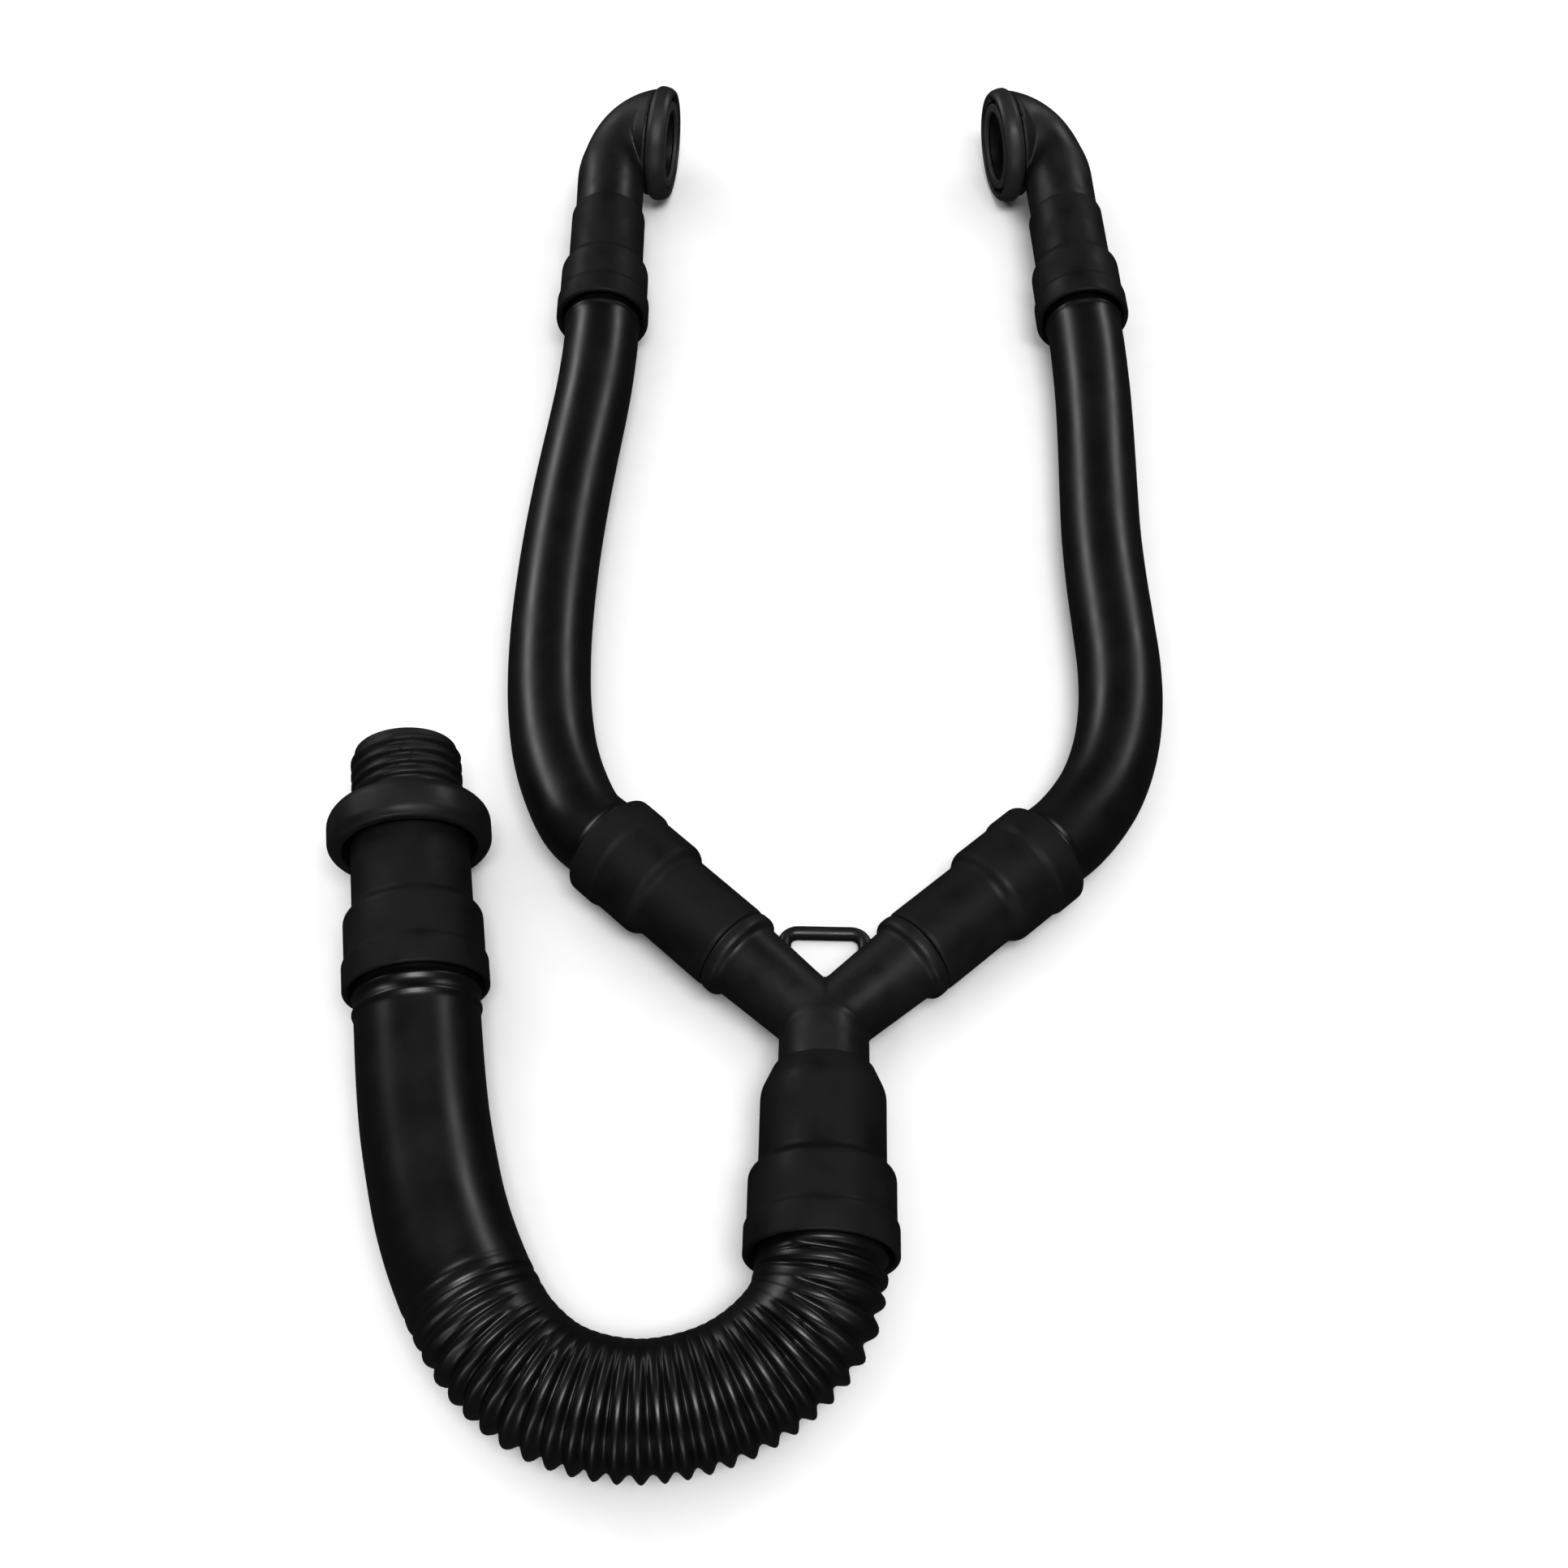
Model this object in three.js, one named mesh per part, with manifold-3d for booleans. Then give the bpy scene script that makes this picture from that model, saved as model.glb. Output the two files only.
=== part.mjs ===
// Twin-branch breathing hose: two swivelling port elbows, two branch hoses, a Y-piece with a
// wire bail, and one corrugated main hose that ends in a threaded swivel connector.
// It lies on a table. Millimetres, +Z up, +Y towards the two elbows. The origin is on the table,
// under the middle of the hard parts.
import * as THREE from 'three';
import { mergeVertices } from 'three/addons/utils/BufferGeometryUtils.js';
import Module from 'manifold-3d';

const wasm = await Module();
wasm.setup();

// ---------------------------------------------------------------- driving dimensions
const FIT = 0.3; // gap between two parts that touch
const HOSE_FIT = 0.8; // gap between a hose and the cuff round it
const ROUND_FINE = 24; // sides of the large visible round parts
const ROUND = 18; // sides of the other round parts
const ROUND_HIDDEN = 14; // sides of the small parts inside
const DEG = Math.PI / 180;
const WELD = 1e-4; // points nearer than this are one point

const BRANCH_HOSE = { diameter: 31.4, sides: 12, steps: 14 };
const MAIN_HOSE = { diameter: 42.2, sides: 12, steps: 22 };

// A rubber cuff: its narrow end grips a rigid spigot, its wide end holds a hose.
const SMALL_CUFF = {
  length: 61.8,
  narrow: 32.3,
  narrowLength: 31,
  wide: 37.6,
  rim: 39.4, // thicker rim at the hose end
  bore: 28.6, // grips the spigot
  cone: 1.5, // length of the rounded narrow end
};
const LARGE_CUFF = {
  length: 64.7,
  narrow: 41.5,
  narrowLength: 34.6,
  wide: 47.8,
  rim: 49.7,
  bore: 31,
  cone: 9,
};
const CUFF_STEP = 3; // length of the slope from narrow to wide
const RIM_LENGTH = 11;
const RIM_ROUND = 1.6;
const CUFF_LIP = 2.6; // what the narrow end is thicker than the bore
const HOSE_SHELF = 2; // rubber between the narrow part and the hose's bore
const SPIGOT_WALL = 2.1;
const SPIGOT_BACK = 1.5; // how far a spigot reaches past the narrow part
const FERRULE_FLANGE = 3;
const FERRULE_NECK = 8;
const FERRULE_WALL = 1.5;

// The elbow's bend follows a quarter of an ellipse and a little more.
const ELBOW = {
  shoulder: 29.4, // stem diameter above the cuff
  cuffTop: -48.2, // narrow end of the cuff, measured down from the middle of the port
  bendAcross: 16.7, // half width of the ellipse, along the port axis
  bendAlong: 25.7, // half height of the ellipse, along the stem axis
  bendTurn: 95.2, // degrees round the ellipse
  bendLength: 34, // length of the straight elbow that is bent
  tube: 29.8, // outside diameter round the bend
  bell: 47, // outside diameter behind the lock ring
  flareStart: 0.25, // the bend widens from here on, as a part of its length
  flarePower: 1.45,
  boreFlareStart: 0.3,
};
// The port stack is measured from the end of the bend, along the port axis.
const PORT = { ledge: 3.6, spigotFace: 6.5, face: 8.8, bore: 29.4, boreStep: 2 };
// The lip, measured back from the end of the bend.
const LIP = { diameter: 46, root: 40, length: 5, edge: 1.4, setBack: 0.15 };
const INNER_REACH = 0.8; // how near the inside of the bend comes to the middle of its curve
const LOCK_RING = { diameter: 50, spigot: 38.4, recess: 43 };
const LOCK_RING_BACK = { depth: 1.5, length: 2.2 }; // its rounded back edge
const LOCK_RING_FRONT = { depth: 2, length: 4.4 };
const LUG = { count: 3, span: 34, depth: 2, root: 1, thickness: 1.6, inset: 0.4 };
const CLIP = { width: 1.2, depth: 1 };
const FACE_GASKET = { outside: 37.4, inside: 30.4, thickness: 1.8 };

const Y_PIECE = {
  arm: 25, // arm diameter at the crotch
  armEnd: 28, // arm diameter at the cuff
  armSwell: 1.4, // what the arm gains half way
  leg: 30.4,
  legTop: 2, // the leg's round shoulder, above the junction
  legShoulder: { depth: 1.5, length: 6 },
  hubSwell: 0.8, // the hub's radius over the arm's
  armAngle: 47.3, // between each arm and the leg's line
  armReach: 43.5, // junction to the cuff's narrow end
  legReach: 16.2,
  stop: 32.4, // collar that the small cuff is pushed against
  stopLength: 1.8,
  stopEdge: 0.4,
};
const BORE_TAPER = 0.8; // the part of a bore's length in which it changes diameter
const BAIL = {
  wire: 5,
  halfWidth: 14.4,
  reach: 41.6,
  corner: 5,
  endGap: 0.6, // from the middle to each end of the wire
  pivotY: 6,
  pivotZ: -16,
  droop: 3.6, // degrees down to the table
  sides: 8,
  steps: 44,
};
const BAIL_LUG = { halfWidth: 6, radius: 4.3, hole: 5.5, rootZ: -7 };

const COUPLING = {
  wheel: 57.4,
  wheelWidth: 15.7,
  thread: 39.3, // over the crests
  root: 36.4,
  threadLength: 24.6,
  pitch: 4.6,
  turns: 4,
  firstTurn: 4.2, // from the wheel to the first crest
  crestSlope: 1,
  crestFlat: 1.6,
  counterbore: 33.6,
  recess: 47,
  recessDepth: 13,
  webFront: 15, // front of the web that the wheel turns on
};
const WHEEL_BACK = { depth: 2.5, length: 4 }; // its rounded back edge
const WHEEL_FRONT = { depth: 3.5, length: 5 };
const TIP_CHAMFER = 0.8;
const STEM_FLANGE = { width: 4, slope: 1, setBack: 2 };
const SEAL = { section: 2.4, inside: 37 };
const SLIP_WASHER = { outside: 40, thickness: 1.2 };
// how far the connector cuff reaches into the wheel
const CUFF_IN_WHEEL = COUPLING.recessDepth - SLIP_WASHER.thickness - 2 * FIT;

// Places of the four rigid groups: position, lean about Z and tilt about X, in degrees.
const PLACES = {
  elbowLeft: { at: [-71.6, 251.8, 26], lean: 0, tilt: 2.8 },
  elbowRight: { at: [129.4, 251.8, 26], lean: 3, tilt: 2.8 },
  yPiece: { at: [20.1, -194.3, 22.6], lean: -1.3, tilt: -1.8 },
  connector: { at: [-124.7, -129, 28.7], lean: 7.6, tilt: 3.8 },
};

// Centre lines of the three hoses, from the seat inside one cuff to the seat inside the other.
// The first and last four points lie on the cuffs' own axes; the heights rest on the table.
const BRANCH_LEFT_ROUTE = [
  [-71.6, 167.1, 21.9], [-71.6, 153.7, 21.2], [-71.6, 140.2, 20.5], [-71.6, 128.2, 20],
  [-73.2, 106.4, 17.8], [-75.3, 87.4, 16.6], [-77.6, 67.4, 16.1], [-79.6, 47.4, 16.1],
  [-81.4, 25.4, 16.1], [-82.6, 3.4, 16.1], [-83.2, -18.6, 16.1], [-82.8, -40.6, 16.1],
  [-81.2, -60.6, 16.2], [-78, -79.4, 16.9], [-72.8, -96.4, 18.4], [-65.5, -111.7, 20],
  [-56.9, -120, 20.2], [-47.2, -129.3, 20.5], [-37.5, -138.7, 20.8],
];
const BRANCH_RIGHT_ROUTE = [
  [133.8, 167.2, 21.9], [134.5, 153.8, 21.2], [135.2, 140.4, 20.5], [135.9, 128.4, 20],
  [136.4, 106.4, 17.8], [136.1, 87.4, 16.6], [135.3, 67.4, 16.1], [134.3, 47.4, 16.1],
  [133.4, 25.4, 16.1], [133.4, 3.4, 16.1], [134, -18.6, 16.1], [134.4, -40.6, 16.1],
  [132.9, -60.6, 16.2], [128.6, -80.6, 16.9], [120.9, -99.4, 18.4], [109.4, -115.6, 20],
  [100.4, -123.6, 20.2], [90.3, -132.5, 20.5], [80.2, -141.4, 20.8],
];
const MAIN_ROUTE = [
  [-120.9, -157.7, 26.8], [-119, -171.5, 25.9], [-117.2, -185.4, 24.9], [-115.6, -197.2, 24.1],
  [-113.2, -213.6, 22.9], [-110.5, -228.6, 22], [-106.9, -243.6, 21.5], [-102.6, -258.6, 21.4],
  [-97, -273.1, 21.4], [-89.8, -287.6, 21.4], [-80.4, -301.8, 21.4], [-63.4, -315.2, 21.4],
  [-37.8, -321, 21.4], [-12.2, -315.8, 21.5], [4.9, -305, 22.6], [15.2, -292.2, 24.4],
  [18.2, -278.6, 25.2], [18.5, -264.6, 24.7], [18.8, -250.7, 24.3],
];

// ---------------------------------------------------------------- materials
const rubber = new THREE.MeshStandardMaterial({ color: 0x1c1c1d, roughness: 0.72, metalness: 0 });
const hoseSkin = new THREE.MeshStandardMaterial({ color: 0x121213, roughness: 0.3, metalness: 0 });
const moulded = new THREE.MeshStandardMaterial({ color: 0x1a1a1b, roughness: 0.45, metalness: 0 });
const innerPlastic = new THREE.MeshStandardMaterial({ color: 0x2e2e30, roughness: 0.5, metalness: 0 });
const sealRubber = new THREE.MeshStandardMaterial({ color: 0x0e0e0e, roughness: 0.8, metalness: 0 });
const steel = new THREE.MeshStandardMaterial({ color: 0x202022, roughness: 0.35, metalness: 0.7 });

// ---------------------------------------------------------------- geometry helpers
// A closed ring of revolution about the local Y axis. Each corner is [diameter, y].
function turned(corners, sides) {
  const profile = corners.map(([diameter, y]) => new THREE.Vector2(diameter / 2, y));
  profile.push(profile[0].clone());
  return weld(new THREE.LatheGeometry(profile, sides));
}

// A rounded outer edge in two facets, from the rim towards a face at y = end. A face at the front
// has direction 1, and one at the back has direction -1.
function roundedRim(diameter, end, { depth, length }, direction) {
  const corners = [
    [diameter, end - direction * length],
    [diameter - 0.6 * depth, end - direction * 0.4 * length],
    [diameter - 2 * depth, end],
  ];
  return direction > 0 ? corners : corners.reverse();
}

function weld(geometry) {
  geometry.deleteAttribute('normal');
  geometry.deleteAttribute('uv');
  return mergeVertices(geometry, WELD);
}

// The same solid with its faces turned out, whichever way its profile was drawn.
function facingOut(geometry) {
  const solid = geometry.index ? geometry : mergeVertices(geometry, WELD);
  const points = solid.attributes.position;
  const index = solid.index.array;
  const a = new THREE.Vector3();
  const b = new THREE.Vector3();
  const c = new THREE.Vector3();
  let volume = 0;
  for (let i = 0; i < index.length; i += 3) {
    a.fromBufferAttribute(points, index[i]);
    b.fromBufferAttribute(points, index[i + 1]);
    c.fromBufferAttribute(points, index[i + 2]);
    volume += a.dot(b.cross(c));
  }
  if (volume < 0) {
    for (let i = 0; i < index.length; i += 3) {
      const first = index[i];
      index[i] = index[i + 1];
      index[i + 1] = first;
    }
  }
  solid.computeVertexNormals();
  return solid;
}

function toManifold(geometry) {
  const solid = facingOut(geometry);
  return new wasm.Manifold(new wasm.Mesh({
    numProp: 3,
    vertProperties: new Float32Array(solid.attributes.position.array),
    triVerts: new Uint32Array(solid.index.array),
  }));
}

function fromManifold(manifold) {
  const mesh = manifold.getMesh();
  const geometry = new THREE.BufferGeometry();
  geometry.setAttribute('position', new THREE.BufferAttribute(new Float32Array(mesh.vertProperties), 3));
  geometry.setIndex(new THREE.BufferAttribute(new Uint32Array(mesh.triVerts), 1));
  geometry.computeVertexNormals();
  return geometry;
}

function named(name, geometry, material) {
  const mesh = new THREE.Mesh(facingOut(geometry), material);
  mesh.name = name;
  return mesh;
}

// A group at one of the PLACES. Its local Y axis runs along the part, its local Z is up.
function placed({ at, lean, tilt }) {
  const group = new THREE.Group();
  group.position.set(...at);
  group.rotation.set(tilt * DEG, 0, lean * DEG, 'ZXY');
  return group;
}

// ---------------------------------------------------------------- cuffs and ferrules
function spigotDiameter(cuff) {
  return cuff.bore - 2 * FIT;
}

// How far a spigot reaches past the narrow end of its cuff.
function spigotReach(cuff) {
  return cuff.narrowLength + SPIGOT_BACK;
}

// Narrow end at y = 0, hose end at y = -length.
function cuffGeometry(cuff, hoseDiameter) {
  const step = -cuff.narrowLength;
  const rimStart = -cuff.length + RIM_LENGTH;
  const hoseBore = hoseDiameter + 2 * HOSE_FIT;
  return turned([
    [cuff.bore, 0],
    [cuff.bore + CUFF_LIP, 0],
    [cuff.narrow, -cuff.cone],
    [cuff.narrow, step],
    [cuff.wide, step - CUFF_STEP],
    [cuff.wide, rimStart],
    [cuff.rim, rimStart - RIM_ROUND],
    [cuff.rim, -cuff.length + RIM_ROUND],
    [cuff.rim - RIM_ROUND, -cuff.length],
    [hoseBore, -cuff.length],
    [hoseBore, step - HOSE_SHELF],
    [cuff.bore, step - HOSE_SHELF],
  ], ROUND);
}

// The flange parts the hose end from the spigot, and the neck centres it in the spigot's bore.
function ferruleGeometry(cuff, hoseDiameter) {
  const flangeTop = -cuff.narrowLength - HOSE_SHELF - FIT;
  const neck = spigotDiameter(cuff) - 2 * SPIGOT_WALL - 2 * FIT;
  const bore = neck - 2 * FERRULE_WALL;
  return turned([
    [bore, flangeTop + FERRULE_NECK],
    [neck, flangeTop + FERRULE_NECK],
    [neck, flangeTop],
    [hoseDiameter, flangeTop],
    [hoseDiameter, flangeTop - FERRULE_FLANGE],
    [bore, flangeTop - FERRULE_FLANGE],
  ], ROUND_HIDDEN);
}

// ---------------------------------------------------------------- elbows
// The elbow's centre line at one angle round the ellipse, and the way that faces out of the bend.
function bendFrame(turn) {
  const { bendAcross, bendAlong } = ELBOW;
  return {
    centre: new THREE.Vector2(bendAcross * (1 - Math.cos(turn)), bendAlong * (Math.sin(turn) - 1)),
    outward: new THREE.Vector2(-bendAlong * Math.cos(turn), bendAcross * Math.sin(turn)).normalize(),
  };
}

// Radius of the bend's centre line at one angle round the ellipse.
function bendRadius(turn) {
  const { bendAcross, bendAlong } = ELBOW;
  const speed = Math.hypot(bendAcross * Math.sin(turn), bendAlong * Math.cos(turn));
  return speed ** 3 / (bendAcross * bendAlong);
}

// A solid turned straight along Y, with its top bent over towards +X. On the inside of the bend
// it is flattened before it reaches the middle of the curve, and further off by one wall.
function bentOver(geometry, wall) {
  const { bendAlong, bendLength, bendTurn } = ELBOW;
  const points = geometry.attributes.position;
  for (let i = 0; i < points.count; i += 1) {
    const along = points.getY(i);
    let side = points.getX(i);
    if (along > 0) {
      const turn = Math.min(along / bendLength, 1) * bendTurn * DEG;
      const { centre, outward } = bendFrame(turn);
      const beyond = Math.max(along - bendLength, 0);
      if (beyond === 0) side = Math.min(side, INNER_REACH * bendRadius(turn) - wall);
      points.setX(i, centre.x - side * outward.x + beyond * outward.y);
      points.setY(i, centre.y - side * outward.y - beyond * outward.x);
    } else {
      points.setY(i, along - bendAlong);
    }
  }
  return geometry;
}

// Diameter of the elbow at one part of its bend, from 0 at the stem to 1 at the port.
function flared(from, to, part, start, power) {
  return from + (to - from) * Math.max(0, (part - start) / (1 - start)) ** power;
}

// The stem and the flared bend, then the port's lip and spigot, less the bore.
function elbowGeometry() {
  const { bendLength } = ELBOW;
  const through = 5; // how far the bore's solid runs past each end
  const bendSteps = 8;
  const stem = spigotDiameter(SMALL_CUFF);
  const bore = stem - 2 * SPIGOT_WALL;
  const cuffTop = ELBOW.cuffTop + ELBOW.bendAlong;
  const stemEnd = cuffTop - spigotReach(SMALL_CUFF);
  const outside = [
    [0, stemEnd],
    [stem, stemEnd],
    [stem, cuffTop + FIT],
    [ELBOW.shoulder, cuffTop + FIT],
  ];
  const inside = [
    [0, stemEnd - through],
    [bore, stemEnd - through],
  ];
  for (let i = 0; i <= bendSteps; i += 1) {
    const part = i / bendSteps;
    const { tube, bell, flareStart, flarePower, boreFlareStart } = ELBOW;
    outside.push([flared(tube, bell, part, flareStart, flarePower), bendLength * part]);
    inside.push([flared(bore, PORT.bore, part, boreFlareStart, 1), bendLength * part]);
  }
  outside.push([0, bendLength]);
  inside.push(
    [PORT.bore, bendLength + PORT.boreStep],
    [PORT.bore, bendLength + PORT.spigotFace + through],
    [0, bendLength + PORT.spigotFace + through],
  );
  const bend = toManifold(bentOver(turned(outside, ROUND), 0));
  const air = toManifold(bentOver(turned(inside, ROUND), SPIGOT_WALL));
  return fromManifold(bend.add(toManifold(portGeometry())).subtract(air));
}

// The lip behind the lock ring, which shows inside the bend, and the spigot with the clip's groove.
function portGeometry() {
  const { spigot } = LOCK_RING;
  const grooveBack = PORT.ledge + FIT / 2;
  const grooveFront = grooveBack + CLIP.width + FIT;
  const groove = spigot - 2 * CLIP.depth;
  return alongPort(turned([
    [0, -LIP.length],
    [LIP.root, -LIP.length],
    [LIP.diameter, -LIP.edge],
    [LIP.diameter, -LIP.setBack],
    [spigot, -LIP.setBack],
    [spigot, grooveBack],
    [groove, grooveBack],
    [groove, grooveFront],
    [spigot, grooveFront],
    [spigot, PORT.spigotFace],
    [0, PORT.spigotFace],
  ], ROUND));
}

// Parts round the port are turned along Y, then laid over onto the end of the bend.
function alongPort(geometry) {
  const { centre, outward } = bendFrame(ELBOW.bendTurn * DEG);
  geometry.rotateZ(Math.atan2(-outward.x, outward.y) - 90 * DEG);
  return geometry.translate(centre.x, centre.y, 0);
}

function lockRingGeometry() {
  const { diameter, spigot, recess } = LOCK_RING;
  const { face, ledge } = PORT;
  const back = FIT;
  const hub = spigot + 2 * FIT;
  const ring = turned([
    [hub, back],
    ...roundedRim(diameter, back, LOCK_RING_BACK, -1),
    ...roundedRim(diameter, face, LOCK_RING_FRONT, 1),
    [recess, face],
    [recess, ledge],
    [hub, ledge],
  ], ROUND_FINE);
  let solid = toManifold(ring);
  for (let i = 0; i < LUG.count; i += 1) {
    solid = solid.add(toManifold(lugGeometry((i * 360) / LUG.count)));
  }
  return alongPort(fromManifold(solid));
}

// One bayonet lug: an arc-shaped tab inside the mouth of the lock ring.
function lugGeometry(middleAngle) {
  const outer = LOCK_RING.recess / 2 + LUG.root;
  const inner = LOCK_RING.recess / 2 - LUG.depth;
  const fromAngle = (middleAngle - LUG.span / 2) * DEG;
  const toAngle = (middleAngle + LUG.span / 2) * DEG;
  const outline = new THREE.Shape();
  outline.absarc(0, 0, outer, fromAngle, toAngle, false);
  outline.absarc(0, 0, inner, toAngle, fromAngle, true);
  const tab = new THREE.ExtrudeGeometry(outline, {
    depth: LUG.thickness, bevelEnabled: false, curveSegments: 4,
  });
  tab.rotateX(-90 * DEG);
  tab.translate(0, PORT.face - LUG.thickness - LUG.inset, 0);
  return weld(tab);
}

// A snap ring in the spigot's groove, in front of the lock ring's ledge.
function clipGeometry() {
  const back = PORT.ledge + FIT;
  const inside = LOCK_RING.spigot - 2 * CLIP.depth + 2 * FIT;
  const outside = LOCK_RING.recess - 2 * FIT;
  return alongPort(turned([
    [inside, back],
    [outside, back],
    [outside, back + CLIP.width],
    [inside, back + CLIP.width],
  ], ROUND));
}

function faceGasketGeometry() {
  const back = PORT.spigotFace + FIT;
  return alongPort(turned([
    [FACE_GASKET.inside, back],
    [FACE_GASKET.outside, back],
    [FACE_GASKET.outside, back + FACE_GASKET.thickness],
    [FACE_GASKET.inside, back + FACE_GASKET.thickness],
  ], ROUND));
}

// One elbow with everything that hangs on it, and the cuff below it. The right-hand one is the
// left-hand one turned half round its stem, so that its port looks the other way.
function upperEnd(side, place) {
  const group = placed(place);
  const head = new THREE.Group();
  head.rotation.y = side === 'right' ? Math.PI : 0;
  head.add(
    named(`elbow_${side}`, elbowGeometry(), moulded),
    named(`lock_ring_${side}`, lockRingGeometry(), moulded),
    named(`lock_ring_clip_${side}`, clipGeometry(), steel),
    named(`face_gasket_${side}`, faceGasketGeometry(), sealRubber),
  );
  const cuff = new THREE.Group();
  cuff.position.y = ELBOW.cuffTop;
  cuff.add(
    named(`upper_cuff_${side}`, cuffGeometry(SMALL_CUFF, BRANCH_HOSE.diameter), rubber),
    named(`upper_ferrule_${side}`, ferruleGeometry(SMALL_CUFF, BRANCH_HOSE.diameter), innerPlastic),
  );
  group.add(head, cuff);
  return group;
}

// ---------------------------------------------------------------- Y-piece and bail
// A tube along +Y from the junction: a plain neck, a stop collar and the spigot in the cuff.
function armSolid() {
  const { arm, armEnd, armReach, armSwell, stop, stopLength, stopEdge } = Y_PIECE;
  const spigot = spigotDiameter(SMALL_CUFF);
  const stopFront = armReach - FIT;
  const stopStart = stopFront - stopLength;
  const end = armReach + spigotReach(SMALL_CUFF);
  return turned([
    [0, 0],
    [arm, 0],
    [arm + armSwell, stopStart / 2],
    [armEnd, stopStart - 2 * stopEdge],
    [stop - 2 * stopEdge, stopStart],
    [stop, stopStart + stopEdge],
    [stop, stopFront - stopEdge],
    [stop - 2 * stopEdge, stopFront],
    [spigot, stopFront],
    [spigot, end],
    [0, end],
  ], ROUND);
}

function legSolid() {
  const { leg, legReach, legTop, legShoulder } = Y_PIECE;
  const end = -legReach - spigotReach(LARGE_CUFF);
  return turned([
    [0, legTop],
    [leg - 2 * legShoulder.depth, legTop],
    [leg, legTop - legShoulder.length],
    [leg, end],
    [0, end],
  ], ROUND);
}

// A bore from the junction outwards, of one diameter at the junction and another beyond it.
function boreSolid(startDiameter, endDiameter, end) {
  return turned([
    [0, 0],
    [startDiameter, 0],
    [endDiameter, end * BORE_TAPER],
    [endDiameter, end],
    [0, end],
  ], ROUND_HIDDEN);
}

// A block under the junction with a round nose, drilled across for the bail.
function bailLugSolid() {
  const { halfWidth, radius, rootZ } = BAIL_LUG;
  const root = rootZ - BAIL.pivotZ;
  const outline = new THREE.Shape();
  outline.absarc(0, 0, radius, Math.PI, 2 * Math.PI, false);
  outline.lineTo(radius, root);
  outline.lineTo(-radius, root);
  const block = new THREE.ExtrudeGeometry(outline, {
    depth: 2 * halfWidth, bevelEnabled: false, curveSegments: 8,
  });
  block.rotateY(90 * DEG);
  block.rotateX(90 * DEG);
  block.translate(-halfWidth, BAIL.pivotY, BAIL.pivotZ);
  return weld(block);
}

function bailHoleSolid() {
  const radius = BAIL_LUG.hole / 2;
  const length = 4 * BAIL_LUG.halfWidth;
  const hole = new THREE.CylinderGeometry(radius, radius, length, 12);
  hole.rotateZ(90 * DEG);
  hole.translate(0, BAIL.pivotY, BAIL.pivotZ);
  return weld(hole);
}

function yPieceGeometry() {
  const armEnd = Y_PIECE.armReach + spigotReach(SMALL_CUFF);
  const legEnd = Y_PIECE.legReach + spigotReach(LARGE_CUFF);
  const armBore = spigotDiameter(SMALL_CUFF) - 2 * SPIGOT_WALL;
  const legBore = spigotDiameter(LARGE_CUFF) - 2 * SPIGOT_WALL;
  const crotchBore = Y_PIECE.arm - 2 * SPIGOT_WALL;
  const through = 5; // how far each boring tool runs past the end
  const hub = new THREE.SphereGeometry(Y_PIECE.arm / 2 + Y_PIECE.hubSwell, 20, 12);
  let solid = toManifold(legSolid()).add(toManifold(weld(hub))).add(toManifold(bailLugSolid()));
  let bores = toManifold(boreSolid(legBore, legBore, -legEnd - through));
  for (const side of [-1, 1]) {
    const turn = side * Y_PIECE.armAngle * DEG;
    solid = solid.add(toManifold(armSolid().rotateZ(turn)));
    bores = bores.add(toManifold(boreSolid(crotchBore, armBore, armEnd + through).rotateZ(turn)));
  }
  return fromManifold(solid.subtract(bores).subtract(toManifold(bailHoleSolid())));
}

// A bent wire whose two inturned ends meet, with a gap, inside the lug. The pivot is the X axis.
function bailGeometry() {
  const { wire, halfWidth, reach, corner, endGap, sides, steps } = BAIL;
  const path = new THREE.CurvePath();
  const at = (x, y) => new THREE.Vector3(x, y, 0);
  const straight = (from, to) => path.add(new THREE.LineCurve3(from, to));
  const bend = (from, over, to) => path.add(new THREE.QuadraticBezierCurve3(from, over, to));
  const inner = halfWidth - corner;
  const far = reach - corner;
  straight(at(endGap, 0), at(inner, 0));
  bend(at(inner, 0), at(halfWidth, 0), at(halfWidth, corner));
  straight(at(halfWidth, corner), at(halfWidth, far));
  bend(at(halfWidth, far), at(halfWidth, reach), at(inner, reach));
  straight(at(inner, reach), at(-inner, reach));
  bend(at(-inner, reach), at(-halfWidth, reach), at(-halfWidth, far));
  straight(at(-halfWidth, far), at(-halfWidth, corner));
  bend(at(-halfWidth, corner), at(-halfWidth, 0), at(-inner, 0));
  straight(at(-inner, 0), at(-endGap, 0));
  return sweptRound(path, wire, sides, steps);
}

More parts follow.
